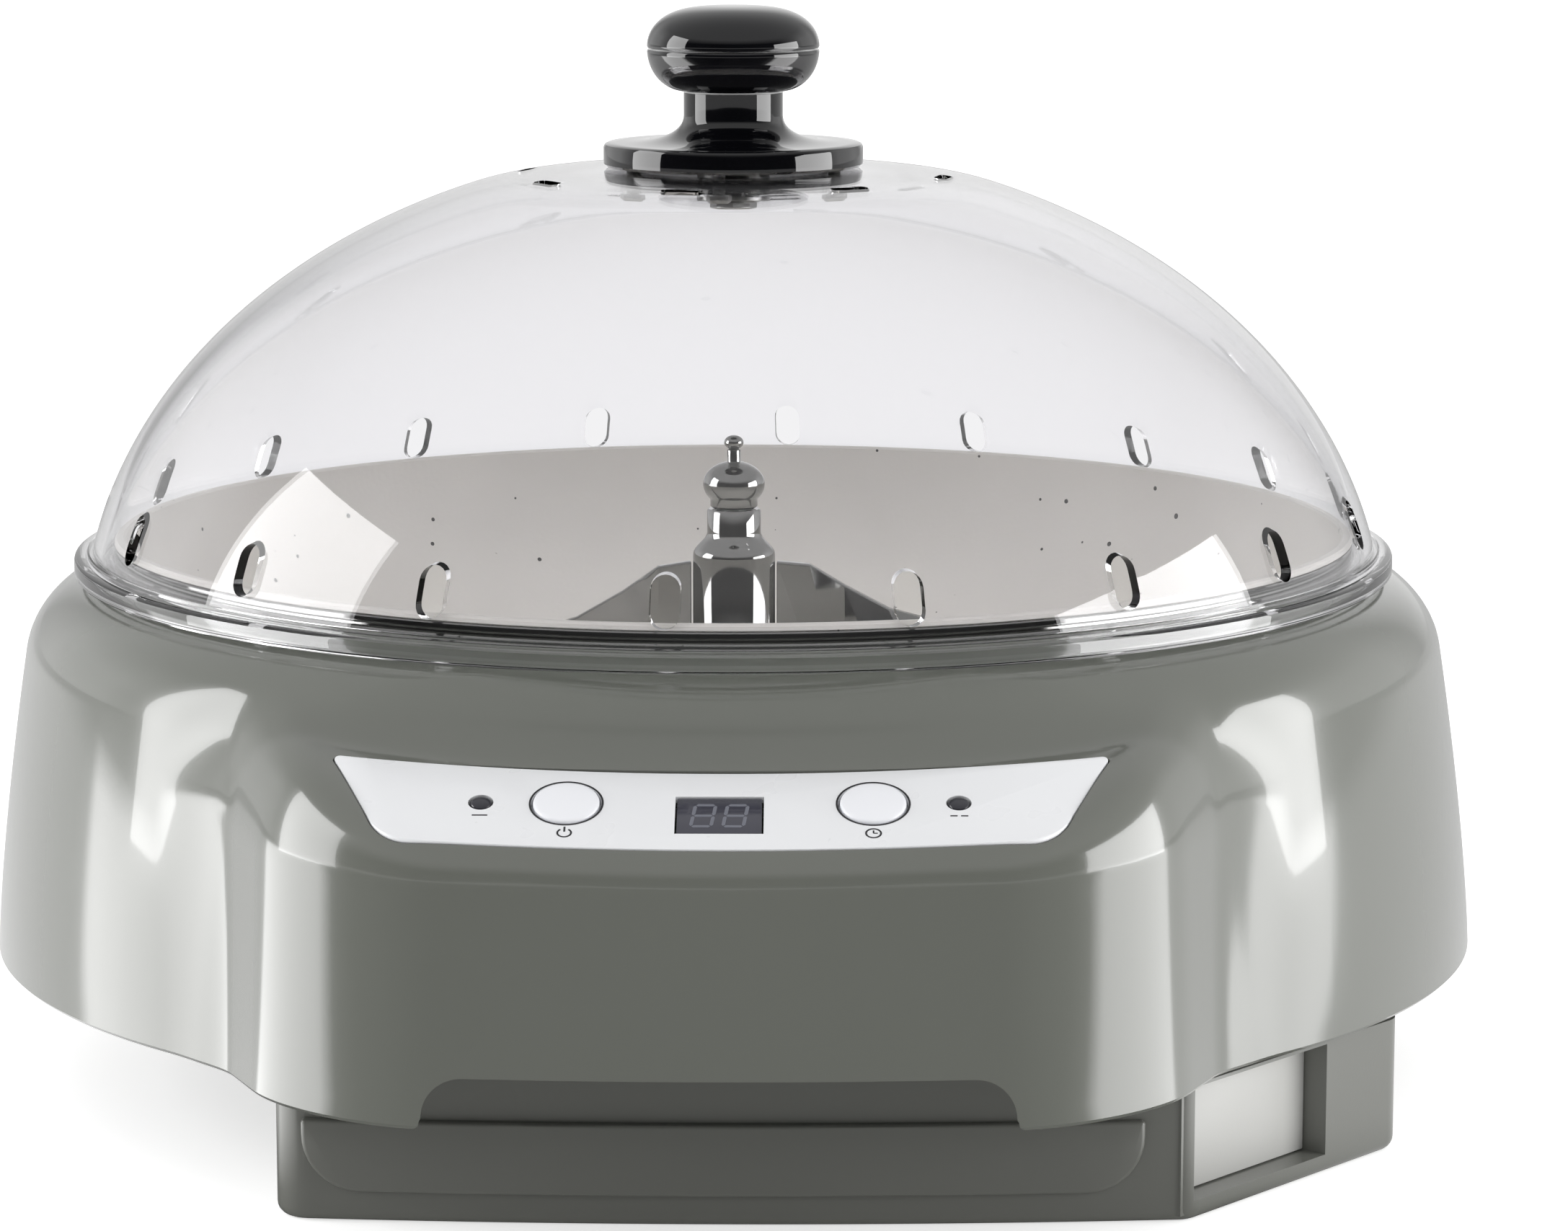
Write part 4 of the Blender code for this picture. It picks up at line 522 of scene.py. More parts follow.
# Join neighbouring closed loops of points with faces, all the way round
def loft(loops):
    bm = bmesh.new()
    rings = []
    for loop in loops:
        verts = [bm.verts.new(point) for point in loop]
        rings.append([bm.edges.new(pair) for pair in zip(verts, verts[1:] + verts[:1])])
    for ring, following in zip(rings, rings[1:] + rings[:1]):
        bmesh.ops.bridge_loops(bm, edges=ring + following)
    return bm


frontTurn = shell["frontTurn"]
frontRibs = shell["ribs"] // 2
rearRibs = shell["ribs"] - frontRibs
ribAngles = [-frontTurn + 2 * frontTurn * k / frontRibs for k in range(frontRibs)]
ribAngles += [frontTurn + (tau - 2 * frontTurn) * k / rearRibs for k in range(rearRibs)]
bodyShell = settle("bodyShell", loft([shellRib(angle) for angle in ribAngles]), finishes["shell_grey"], 40)

# What is cut out of the shell and set under it; cutters run past what they cut
overrun = 6 * mm
post = lengths(
    ring=123.2,
    radius=3.6,
    bottom=7.3,
    top=96.2,
    edge=0.3,
)
post["turn"] = radians(56.7)
notch = lengths(
    halfWidth=50.2,
    height=9.0,
    corner=7.0,
    flare=1.5,
    lift=0.05,
    shift=0.3,
)
control = lengths(
    halfWidth=66.1,
    tip=27.2,
    middle=21.8,
    thickness=1.3,
    sink=0.2,
    edge=0.25,
    gap=0.3,
    bow=2.6,
    cornerRadius=9.0,
    tipRadius=0.9,
    pocketReach=8,
    wellSink=0.1,
    buttonRadius=5.6,
    buttonHole=5.95,
    buttonTop=0.35,
    wellGap=1.65,
    ringFit=0.02,
    ringWidth=0.35,
    ringRise=0.06,
    windowAt=9.7,
    glassSink=0.15,
    lampRadius=1.85,
    lampFoot=-8.7,
)
control.update(
    setback=shell["panelSetback"] - shell["noseReach"],
    corner=(56.7 * mm, 3.5 * mm),
    tipOut=(0.3 * mm, 0.1 * mm),
    topPower=2.05,
    buttonAt=(25.8 * mm, 13.0 * mm),
    buttonCrown=((0.35, 0.08), (0.1, 0.25), (0.0, 0.5)),
    buttonFlange=(1.3 * mm, 1.0 * mm),
    buttonStem=(2.0 * mm, 4.4 * mm),
    windowSize=(14.9 * mm, 10.6 * mm),
    lampAt=(40.2 * mm, 13.3 * mm),
)
panelPlace = Matrix.Translation((0, control["setback"], shell["noseTop"]))
panelPlace = panelPlace @ Matrix.Rotation(shell["noseSlope"], 4, "X")


def onPanel(bm):
    bm.transform(panelPlace)
    return bm


# The panel seen square on: bowed below, straight slanted ends, pointed upper corners
def panelOutline(spread):
    c = control
    below = [(x * mm, c["bow"] * (x / 50) ** 2) for x in range(0, 51, 5)]
    dip = c["tip"] - c["middle"]
    above = []
    for x in range(60, -1, -5):
        above.append((x * mm, c["middle"] + dip * (x * mm / c["halfWidth"]) ** c["topPower"]))
    tip = (c["halfWidth"] + c["tipOut"][0], c["tip"] + c["tipOut"][1])
    half = below + [c["corner"], tip] + above
    radii = [0] * len(below) + [c["cornerRadius"], c["tipRadius"]] + [0] * len(above)
    loop = half + [(-x, y) for x, y in reversed(half[1:-1])]
    loopRadii = radii + list(reversed(radii[1:-1]))
    outline = rounded(loop, loopRadii, 8)
    grown = []
    for index, point in enumerate(outline):
        along = (Vector(outline[(index + 1) % len(outline)]) - Vector(outline[index - 1])).normalized()
        grown.append((point[0] + along.y * spread, point[1] - along.x * spread))
    return grown


def notchOutline():
    n = notch
    side = n["halfWidth"] + n["flare"]
    inward = n["halfWidth"] - n["corner"] - n["shift"]
    half = [(side, shell["hem"] - overrun)]
    half += arc(side, shell["hem"] + n["flare"] - n["lift"], n["flare"], 1.5 * pi, pi, 8)
    half += arc(inward, shell["hem"] + n["height"] - n["corner"], n["corner"], 0, pi / 2, 12)
    return half + [(-x, height) for x, height in reversed(half)]


notchTool = prism(notchOutline(), 0, shell["noseReach"] - shell["openingRadius"])
notchPlace = Matrix.Translation((0, -shell["openingRadius"] - shell["wall"], 0))
notchTool.transform(notchPlace @ Matrix.Rotation(pi / 2, 4, "X"))
pocketFloor = -control["sink"] - control["thickness"] - control["gap"]
pocketTool = onPanel(prism(panelOutline(control["gap"]), pocketFloor, control["pocketReach"]))
w, h = control["windowSize"]
windowLow = control["windowAt"] - h / 2
grow = control["gap"]


def windowBlock(spread, low, high):
    x = w / 2 + spread
    return block3(-x, x, windowLow - spread, windowLow + h + spread, low, high)


# Cutters for the window, the buttons and the lamps
def panelCutters(spread, high, button, lamp):
    cutters = [windowBlock(spread, -overrun, high)]
    for side in (-1, 1):
        for place, (radius, steps) in (("buttonAt", button), ("lampAt", lamp)):
            x, y = control[place]
            cutters.append(prism(disc(side * x, y, radius, steps), -overrun, high))
    return onPanel(merged(cutters))


lampHole = control["lampRadius"] + grow
wellRadius = control["buttonRadius"] + control["wellGap"]
carve(bodyShell, merged([notchTool, pocketTool]))
carve(bodyShell, panelCutters(grow, pocketFloor + control["wellSink"], (wellRadius, 48), (lampHole, 24)))
posts = []
for sx in (-1, 1):
    for sy in (-1, 1):
        x = sx * post["ring"] * cos(post["turn"])
        y = sy * post["ring"] * sin(post["turn"])
        column = prism(disc(x, y, post["radius"], 24), post["bottom"], post["top"])
        posts.append(softened(column, post["edge"]))
carve(bodyShell, merged(posts), "UNION")
smoothAgain(bodyShell, 32)
stand(bodyShell, "body_shell")
print("shell made")

# Control panel: plate, buttons with their dark rings, window, digits, lamps and plain symbols
panelTop = -control["sink"]
plate = softened(prism(panelOutline(0), panelTop - control["thickness"], panelTop), control["edge"])
panelPlate = settle("panelPlate", onPanel(plate), finishes["panel_white"])
carve(panelPlate, panelCutters(0, overrun, (control["buttonHole"], 64), (lampHole, 32)))
smoothAgain(panelPlate)
stand(panelPlate, "control_panel")

ringInner = control["buttonHole"] + control["ringFit"]
ringOuter = control["buttonHole"] + control["ringWidth"]
ringTop = panelTop + control["ringRise"]
ringProfile = [(ringInner, panelTop), (ringOuter, panelTop), (ringOuter, ringTop), (ringInner, ringTop)]
for label, side in (("power", -1), ("timer", 1)):
    x, y = control["buttonAt"]
    radius = control["buttonRadius"]
    top = control["buttonTop"]
    flange = panelTop - control["thickness"] - grow
    flangeWidth, flangeThickness = control["buttonFlange"]
    stem, stemLength = control["buttonStem"]
    profile = [(0, top + 0.05 * mm), (radius * 0.5, top + 0.04 * mm), (radius * 0.86, top)]
    profile += [(radius - inset * mm, top - drop * mm) for inset, drop in control["buttonCrown"]]
    rim = radius + flangeWidth
    profile += [(radius, flange), (rim, flange), (rim, flange - flangeThickness)]
    profile += [(stem, flange - flangeThickness), (stem, flange - stemLength), (0, flange - stemLength)]
    make(f"{label}Key", onPanel(spun(profile, 72, (side * x, y, 0))), f"{label}_button", 50)
    ring = settle(f"{label}Ring", onPanel(spun(ringProfile, 72, (side * x, y, 0))), ringInk)
    stand(ring, body="housing", slot="dark_lens")
for label, side in (("power", -1), ("working", 1)):
    x, y = control["lampAt"]
    radius, foot = control["lampRadius"], control["lampFoot"]
    profile = [(0, 0), (radius * 0.45, -0.02 * mm), (radius * 0.8, -0.12 * mm), (radius * 0.97, -0.4 * mm)]
    profile += [(radius, -0.8 * mm), (radius, foot), (0, foot)]
    make(f"{label}Lens", onPanel(spun(profile, 40, (side * x, y, 0))), f"{label}_lamp", 60)

glassTop = panelTop - control["glassSink"]
glass = softened(windowBlock(-grow, panelTop - control["thickness"], glassTop), control["glassSink"])
make("windowGlass", onPanel(glass), "display_window")

digit = lengths(
    height=6.0,
    width=3.4,
    bar=0.62,
    gap=0.12,
    spacing=5.4,
    relief=0.03,
)
digit["lean"] = 0.12


# One pointed bar of a digit, lying or upright
def segment(length, upright):
    half = digit["bar"] / 2
    run = length / 2 - digit["gap"]
    outline = [(-run, 0), (-run + half, -half), (run - half, -half)]
    outline += [(run, 0), (run - half, half), (-run + half, half)]
    bm = prism(outline, glassTop - digit["relief"], glassTop + digit["relief"])
    if upright:
        bm.transform(Matrix.Rotation(pi / 2, 4, "Z"))
    return bm


bars = []
for place in (-0.5, 0.5):
    centre = Vector((place * digit["spacing"], control["windowAt"], 0))
    for level in (-1, 0, 1):
        bar = segment(digit["width"], False)
        bar.transform(Matrix.Translation(centre + Vector((0, level * digit["height"] / 2, 0))))
        bars.append(bar)
    for side in (-1, 1):
        for level in (-0.5, 0.5):
            bar = segment(digit["height"] / 2, True)
            spot = Vector((side * digit["width"] / 2, level * digit["height"] / 2, 0))
            bar.transform(Matrix.Translation(centre + spot))
            bars.append(bar)
digits = merged(bars)
for vert in digits.verts:
    vert.co.x += (vert.co.y - control["windowAt"]) * digit["lean"]
stand(settle("windowDigits", onPanel(digits), digitGrey), body="housing", slot="dark_lens")

mark = lengths(
    ink=0.32,
    sink=0.02,
    rise=0.03,
    buttonLabel=4.6,
    lampLabel=9.6,
    dash=1.2,
    dashShift=0.9,
)
inkLow = panelTop - mark["sink"]
inkTop = panelTop + mark["rise"]


# A printed ring, with an opening at its top where asked
def symbolRing(x, y, radius, width, opening=0.0):
    outer, inner = radius + width / 2, radius - width / 2
    if opening == 0:
        return spun([(inner, inkLow), (outer, inkLow), (outer, inkTop), (inner, inkTop)], 48, (x, y, 0))
    start = pi / 2 + opening / 2
    end = pi / 2 + tau - opening / 2
    return prism(arc(x, y, outer, start, end, 40) + arc(x, y, inner, end, start, 40), inkLow, inkTop)


def symbolBar(x, y, length, width, turn):
    half = width / 2
    bm = block3(-length / 2, length / 2, -half, half, inkLow, inkTop)
    bm.transform(Matrix.Translation((x, y, 0)) @ Matrix.Rotation(turn, 4, "Z"))
    return bm


ink, labelY, lampY = mark["ink"], mark["buttonLabel"], mark["lampLabel"]
dash, shift = mark["dash"], mark["dashShift"]
buttonX = control["buttonAt"][0]
lampX = control["lampAt"][0]
marks = [
    symbolRing(-buttonX, labelY, 1.15 * mm, ink, radians(70)),
    symbolBar(-buttonX, labelY + 1.0 * mm, 1.4 * mm, ink, pi / 2),
    symbolRing(buttonX, labelY, 1.25 * mm, ink),
    symbolBar(buttonX, labelY + 0.4 * mm, 0.8 * mm, ink * 0.8, pi / 2),
    symbolBar(buttonX + 0.35 * mm, labelY, 0.7 * mm, ink * 0.8, 0),
    symbolBar(-lampX, lampY, 2.6 * mm, ink, 0),
    symbolBar(lampX - shift, lampY, dash, ink, 0),
    symbolBar(lampX + shift, lampY, dash, ink, 0),
]
stand(settle("panelMarks", onPanel(merged(marks)), ringInk), body="housing", slot="dark_lens")
print("control panel made")

# Base moulding: plinth, step block, wing and its recess
base = lengths(
    left=78.5,
    right=82.0,
    front=122.3,
    frontSide=118.5,
    rear=112.0,
    wingReach=122.3,
    wingFront=71.0,
    wingRear=40.0,
    corner=6.0,
    wingCorner=5.0,
    bottomRound=2.5,
    floor=2.5,
    wall=2.5,
    top=34.0,
    stepProud=2.0,
    stepBottom=6.0,
    stepTop=18.8,
    stepHalf=73.5,
    stepCorner=10.0,
    stepEdge=0.8,
    bevel=0.7,
    skirtRoom=1.2,
    roomWidth=20,
    recessStart=0.6,
    recessWidth=39.7,
    recessBottom=3.8,
    recessHeight=20.5,
    recessDepth=6.0,
    plateThickness=1.3,
)
base["bevelAngle"] = 0.9


def bowed(half, otherHalf, front, frontSide, steps=24):
    spots = [-half + (half + otherHalf) * k / steps for k in range(steps + 1)]
    return [(x, -front + (front - frontSide) * (2 * k / steps - 1) ** 2) for k, x in enumerate(spots)]


def baseLoop():
    b = base
    front = bowed(b["left"], b["right"], b["front"], b["frontSide"])
    corners = [(b["wingReach"], -b["wingFront"]), (b["wingReach"], b["wingRear"])]
    corners += [(b["right"], b["rear"]), (-b["left"], b["rear"])]
    loop = front + corners
    radii = [b["corner"]] + [0] * (len(front) - 2) + [b["wingCorner"]] + [b["corner"]] * 4
    return rounded(loop, radii, 6)


tray = prism(baseLoop(), 0, base["top"])
bottomFace = min(tray.faces, key=lambda face: face.calc_center_median().z)
bevelled(tray, list(bottomFace.edges), base["bottomRound"], 6)
topFace = max(tray.faces, key=lambda face: face.calc_center_median().z)
bmesh.ops.inset_region(tray, faces=[topFace], thickness=base["wall"], use_even_offset=True)
pushed = bmesh.ops.extrude_face_region(tray, geom=[topFace])
lowered = [item for item in pushed["geom"] if isinstance(item, bmesh.types.BMVert)]
bmesh.ops.translate(tray, verts=lowered, vec=(0, 0, base["floor"] - base["top"]))
bmesh.ops.delete(tray, geom=[topFace], context="FACES")
baseTray = settle("baseTray", tray, finishes["base_grey"])

roomInner = shell["skirtRadius"] - shell["wall"] - base["skirtRoom"]
roomOuter = roomInner + base["roomWidth"]
roomLow = shell["hem"] - base["skirtRoom"]
roomHigh = base["top"] + overrun
room = [(roomInner, roomLow), (roomOuter, roomLow), (roomOuter, roomHigh), (roomInner, roomHigh)]
carve(baseTray, spun(room, 180))

half = base["stepHalf"]
proud = base["stepProud"]
blockFace = [(-half, base["stepTop"]), (-half, base["stepBottom"])]
blockFace += [(half, base["stepBottom"]), (half, base["stepTop"])]
corner, edge = base["stepCorner"], base["stepEdge"]
blockFace = rounded(blockFace, [edge, corner, corner, edge], 10)
blockBack = base["frontSide"] - base["wall"] / 2
block = prism(blockFace, blockBack, base["front"] + proud + overrun)
block.transform(Matrix.Rotation(pi / 2, 4, "X"))
slabFront = bowed(half, half, base["front"] + proud, base["frontSide"] + proud, 32)
slab = prism(slabFront + [(half, -blockBack), (-half, -blockBack)], 0, base["top"])
stepBlock = settle("stepBlock", block, finishes["base_grey"])
carve(stepBlock, slab, "INTERSECT")
stepMesh = bmesh.new()
stepMesh.from_mesh(stepBlock.data)
bmesh.ops.dissolve_limit(stepMesh, angle_limit=radians(0.5), verts=stepMesh.verts, edges=stepMesh.edges)
softened(stepMesh, base["bevel"], 3, base["bevelAngle"])
bpy.data.objects.remove(stepBlock)
carve(baseTray, stepMesh, "UNION")

wingStart = Vector((base["right"], -base["frontSide"], 0))
wingEnd = Vector((base["wingReach"], -base["wingFront"], 0))
wingTurn = atan2(wingEnd.y - wingStart.y, wingEnd.x - wingStart.x)
wingPlace = Matrix.Translation(wingStart) @ Matrix.Rotation(wingTurn, 4, "Z")


def onWing(bm):
    bm.transform(wingPlace)
    return bm


wall = base["wall"]
depth = base["recessDepth"]
recessStart = base["recessStart"]
recessEnd = recessStart + base["recessWidth"]
recessLow = base["recessBottom"]
recessHigh = recessLow + base["recessHeight"]
liningLow = base["floor"] / 2
lining = block3(recessStart - wall, recessEnd + wall, wall / 2, depth + wall, liningLow, recessHigh + wall)
carve(baseTray, onWing(lining), "UNION")
recess = block3(recessStart, recessEnd, -overrun, depth, recessLow, recessHigh)
softened(recess, base["bevel"], 3, base["bevelAngle"], lambda edge: all(vert.co.y > 0 for vert in edge.verts))
carve(baseTray, onWing(recess))
smoothAgain(baseTray)
stand(baseTray, "base_housing")

sides = (recessStart + grow, recessEnd - grow, depth - base["plateThickness"], depth - grow)
plate = softened(block3(*sides, recessLow + grow, recessHigh - grow), control["edge"])
make("recessPlate", onWing(plate), "side_recess_plate")
print("base made")

# Pan with its rolled rim, and the polished collar
pan = lengths(
    radius=117.0,
    wall=1.0,
    depth=38.1,
    floorRadius=82.0,
    rimWidth=1.0,
    rimDepth=1.1,
    boss=14.0,
    bossFoot=6.0,
    bossHeight=4.3,
    hole=6.3,
    edge=0.4,
)
pan.update(
    bossEdge=(0.8 * mm, 0.3 * mm),
    bossEase=(0.8, 0.5 * mm, 1.5 * mm),
)
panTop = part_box("roasting_pan")[1].z
panFloor = panTop - pan["depth"]


def bowlSide(offset, top, steps):
    across = pan["radius"] - pan["floorRadius"] + offset
    rise = pan["depth"] + offset
    low = panFloor - offset
    last = acos(max(-1.0, 1 - (top - low) / rise))
    turns = [last * step / steps for step in range(steps + 1)]
    return [(pan["floorRadius"] + across * sin(t), low + rise * (1 - cos(t))) for t in turns]


boss, wall, edge = pan["boss"], pan["wall"], pan["edge"]
bossTop = panFloor + pan["bossHeight"]
bossEdge, bossDrop = pan["bossEdge"]
easeShare, ease, longEase = pan["bossEase"]
bossFoot = boss + pan["bossFoot"]
rimOuter = pan["radius"] + wall + pan["rimWidth"]
rimLow = panTop - pan["rimDepth"]
panProfile = [(pan["hole"], bossTop), (boss - bossEdge, bossTop), (boss, bossTop - bossDrop)]
panProfile += [(boss + pan["bossFoot"] * easeShare, panFloor + ease), (bossFoot + longEase, panFloor)]
panProfile += bowlSide(0, panTop - edge, 40)
panProfile += [(pan["radius"] + edge, panTop), (rimOuter - edge, panTop), (rimOuter, panTop - edge)]
panProfile += [(rimOuter, rimLow), *reversed(bowlSide(wall, rimLow, 16))]
panProfile += [(bossFoot - ease, panFloor - wall)]
panProfile += [(boss - ease, bossTop - wall), (pan["hole"], bossTop - wall)]
make("panBowl", spun(panProfile, 240), "roasting_pan", 40)

collar = lengths(
    radius=118.3,
    wall=0.9,
    footLow=101.2,
    foot=1.0,
    edge=0.2,
    flare=0.3,
)
collarLow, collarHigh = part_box("pan_collar")
low, high, brim = collarLow.z, collarHigh.z, collarHigh.x
edge, flare = collar["edge"], collar["flare"]
outer = collar["radius"] + collar["wall"]
footLow = collar["footLow"]
footHigh = footLow + collar["foot"]
collarProfile = [(collar["radius"], high), (outer - edge, high), (outer, high - edge)]
collarProfile += [(outer, footHigh + flare), (outer + flare, footHigh), (brim - edge, footHigh)]
collarProfile += [(brim, footHigh - edge), (brim, footLow), (outer, footLow)]
collarProfile += [(outer, low), (collar["radius"], low)]
make("panCollar", spun(collarProfile, 240), "pan_collar", 40)
print("pan made")

# Stirrer: hub, cap nut and two paddles
hub = lengths(
    flange=13.0,
    flangeThickness=3.4,
    radius=8.0,
    neck=5.2,
    neckHeight=4.5,
    bore=3.8,
    edge=0.3,
    flangeEdge=0.6,
)
low, high = (corner.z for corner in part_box("stirrer_hub"))
flange, radius, neck, edge, soft = (hub[key] for key in ("flange", "radius", "neck", "edge", "flangeEdge"))
flangeHigh = low + hub["flangeThickness"]
hubProfile = [(hub["bore"], low), (flange - edge, low), (flange, low + edge)]
hubProfile += [(flange, flangeHigh - soft), (flange - soft, flangeHigh)]
hubProfile += [(radius + soft, flangeHigh), (radius, flangeHigh + soft)]
neckFoot = high - 2 * hub["neckHeight"]
for step in range(9):
    share = step / 8
    eased = (1 - cos(pi * share)) / 2
    hubProfile.append((radius + (neck - radius) * eased, neckFoot + hub["neckHeight"] * share))
hubProfile += [(neck, high - edge), (neck - edge, high), (hub["bore"], high)]
make("stirrerHub", spun(hubProfile, 72), "stirrer_hub", 45)

nut = lengths(
    radius=6.0,
    height=9.0,
    foot=4.6,
    neck=1.3,
    neckHeight=2.2,
    tip=1.9,
    bore=2.9,
    edge=0.3,
)
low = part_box("stirrer_cap_nut")[0].z
middle = low + nut["height"] / 2
neck, edge, tip = nut["neck"], nut["edge"], nut["tip"]
nutProfile = [(nut["bore"], low), (nut["foot"] - edge, low), (nut["foot"], low + edge)]
for step in range(17):
    turn = radians(-40 + 117 * step / 16)
    nutProfile.append((nut["radius"] * cos(turn), middle + nut["height"] / 2 * sin(turn)))
neckTop = low + nut["height"] + nut["neckHeight"]
nutProfile += [(neck, low + nut["height"]), (neck, neckTop)]
for step in range(9):
    turn = radians(-60 + 150 * step / 8)
    nutProfile.append((tip * cos(turn), neckTop + tip * 0.75 * (1 + sin(turn))))
nutProfile += [(0, middle + edge), (nut["bore"], middle + edge)]
make("stirrerNut", spun(nutProfile, 64), "stirrer_cap_nut", 45)
for side in ("left", "right"):
    finerCopy(f"stirrer_blade_{side}", 0.4)
print("stirrer made")

# Dome lid: stepped flange, clear wall, two rings of vents and the thickened seat under the crown
lidLow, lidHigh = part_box("dome_lid")
dome = lengths(
    radius=126.0,
    wall=2.0,
    height=95.9,
    sink=15.3,
    crownWall=2.6,
    crownBlend=3.6,
    seat=18.0,
    footStart=0.9,
    footRound=0.3,
    flangeThickness=3.3,
    flangeWidth=4.7,
    bead=0.35,
    stepHeight=1.1,
    stepWidth=2.5,
    bore=2.6,
    ventWidth=5.3,
    ventHeight=9.2,
    ventReach=9.0,
    ventLift=11.5,
    topVentRing=41.0,
    topVentLength=8.0,
    topVentWidth=2.4,
    topVentReach=8.0,
)
dome.update(
    power=2.036,
    vents=18,
    ventFirst=radians(85.4),
    topVents=8,
    topVentFirst=radians(-102.4),
)
domeFoot = lidLow.z - dome["sink"]
crownTop = lidHigh.z
crownUnder = crownTop - dome["crownWall"]


# Outline of the dome from a height up to the flat crown, which its curve meets softly
def domeSkin(low, steps):
    start = asin(sqrt(((low - domeFoot) / dome["height"]) ** dome["power"]))
    end = acos((dome["bore"] / dome["radius"]) ** (dome["power"] / 2))
    turns = [start + (end - start) * step / steps for step in range(steps + 1)]
    share = 2 / dome["power"]
    outline = []
    for turn in turns:
        rise = domeFoot + dome["height"] * sin(turn) ** share
        near = max(0.0, dome["crownBlend"] - abs(rise - crownTop)) / dome["crownBlend"]
        height = min(rise, crownTop) - near * near * dome["crownBlend"] / 4
        outline.append((dome["radius"] * cos(turn) ** share, height))
    return outline


# The same outline moved inward by the wall, so that the two faces of the wall stay parallel
def innerSkin(outline, wall):
    moved = []
    for index, (radius, height) in enumerate(outline):
        before = outline[max(0, index - 1)]
        after = outline[min(len(outline) - 1, index + 1)]
        run, rise = after[0] - before[0], after[1] - before[1]
        length = hypot(run, rise)
        moved.append((radius - wall * rise / length, height + wall * run / length))
    return moved


bottom = lidLow.z
flangeTop = bottom + dome["flangeThickness"]
stepTop = flangeTop + dome["stepHeight"]
seatEdge = dome["seat"] + dome["crownWall"] - dome["wall"]
inner = innerSkin(domeSkin(bottom + dome["footStart"], 80), dome["wall"])
inner[0] = (inner[0][0], bottom + dome["footRound"])
inner = [spot for spot in inner if spot[0] > seatEdge]
inner += [(seatEdge, inner[-1][1]), (dome["seat"], crownUnder), (dome["bore"], crownUnder)]
edge = inner[0][0] + dome["flangeWidth"]
bead = dome["bead"]
domeProfile = [(inner[0][0] + dome["footRound"], bottom), (edge - bead, bottom), (edge, bottom + bead)]
domeProfile += [(edge, flangeTop - 2 * bead), (edge - 0.3 * bead, flangeTop - bead)]
domeProfile += [(edge - 2 * bead, flangeTop)]
edge -= dome["stepWidth"]
domeProfile += [(edge + bead, flangeTop), (edge, flangeTop + bead)]
domeProfile += [(edge, stepTop - bead), (edge - bead, stepTop)]
domeProfile += [*domeSkin(stepTop, 90), *reversed(inner)]
domeLid = settle("domeLid", spun(domeProfile, 256), finishes["clear_dome"], 40)


def slot(length, width, reach, capSteps):
    run = (length - width) / 2
    outline = []
    for centre, first in ((run, -pi / 2), (-run, pi / 2)):
        outline += arc(centre, 0, width / 2, first, first + pi, capSteps)
    return prism(outline, -reach, reach)


# Slots set round the upright axis
def ventRing(count, first, sizes, spot, axis):
    tools = []
    for index in range(count):
        tool = slot(*sizes)
        turn = Matrix.Rotation(first + tau * index / count, 4, "Z")
        tool.transform(turn @ Matrix.Translation(spot) @ Matrix.Rotation(pi / 2, 4, axis))
        tools.append(tool)
    return tools


ventZ = bottom + dome["ventLift"]
ventRadius = domeSkin(ventZ, 1)[0][0]
sizes = (dome["ventHeight"], dome["ventWidth"], dome["ventReach"], 10)
tools = ventRing(dome["vents"], dome["ventFirst"], sizes, (ventRadius, 0, ventZ), "Y")
sizes = (dome["topVentLength"], dome["topVentWidth"], dome["topVentReach"], 6)
tools += ventRing(dome["topVents"], dome["topVentFirst"], sizes, (dome["topVentRing"], 0, crownUnder), "Z")
carve(domeLid, merged(tools))
smoothAgain(domeLid, 40)
stand(domeLid, "dome_lid")
print("dome made")

# Knob: plate and stem, ball below the parting line, cap above it
knob = lengths(
    plate=24.9,
    plateEdge=4.4,
    plateRise=2.6,
    plateFoot=0.5,
    plateRound=0.8,
    plateChamfer=0.25,
    stem=9.5,
    ball=16.5,
    bore=2.6,
    boreDepth=12.5,
)
knob["seam"] = (0.15 * mm, 0.3 * mm)
plate, stem, ball, bore = (knob[key] for key in ("plate", "stem", "ball", "bore"))
foot, soft, chamfer = knob["plateFoot"], knob["plateRound"], knob["plateChamfer"]
seamIn, seamUp = knob["seam"]
low, high = (corner.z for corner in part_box("knob_base"))
edgeTop = low + knob["plateEdge"]
boreTop = low + knob["boreDepth"]
stemProfile = [(bore, low), (plate - foot, low), (plate, low + foot)]
stemProfile += [(plate, edgeTop - soft), (plate - chamfer, edgeTop - chamfer), (plate - soft, edgeTop)]
for step in range(1, 17):
    turn = step / 16 * pi / 2
    radius = plate - soft + (stem - plate + soft) * sin(turn) ** 0.9
    stemProfile.append((radius, edgeTop + knob["plateRise"] * 2 * (1 - cos(turn)) ** 1.25))
stemProfile += [(stem, high), (0, high), (0, boreTop), (bore, boreTop)]
make("knobStem", spun(stemProfile, 128), "knob_base", 40)

low, high = (corner.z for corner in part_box("knob_ball"))
ballProfile = [(0, low)]
for step in range(15):
    turn = pi / 2 * (1 - step / 14)
    ballProfile.append((ball - (ball - stem) * (1 - cos(turn)), high - (high - low) * sin(turn)))
ballProfile[-1] = (ball - seamIn, high)
ballProfile.insert(-1, (ball, high - seamUp))
ballProfile += [(0, high)]
make("knobBall", spun(ballProfile, 128), "knob_ball", 40)

low, high = (corner.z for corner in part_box("knob_cap"))
capProfile = [(0, low), (ball - seamIn, low), (ball, low + seamUp)]
for step in range(1, 20):
    turn = pi / 2 * step / 20
    capProfile.append((ball * cos(turn) ** 0.6, low + seamUp + (high - low - seamUp) * sin(turn)))
capProfile += [(0, high)]
make("knobCap", spun(capProfile, 128), "knob_cap", 40)
print("knob made")

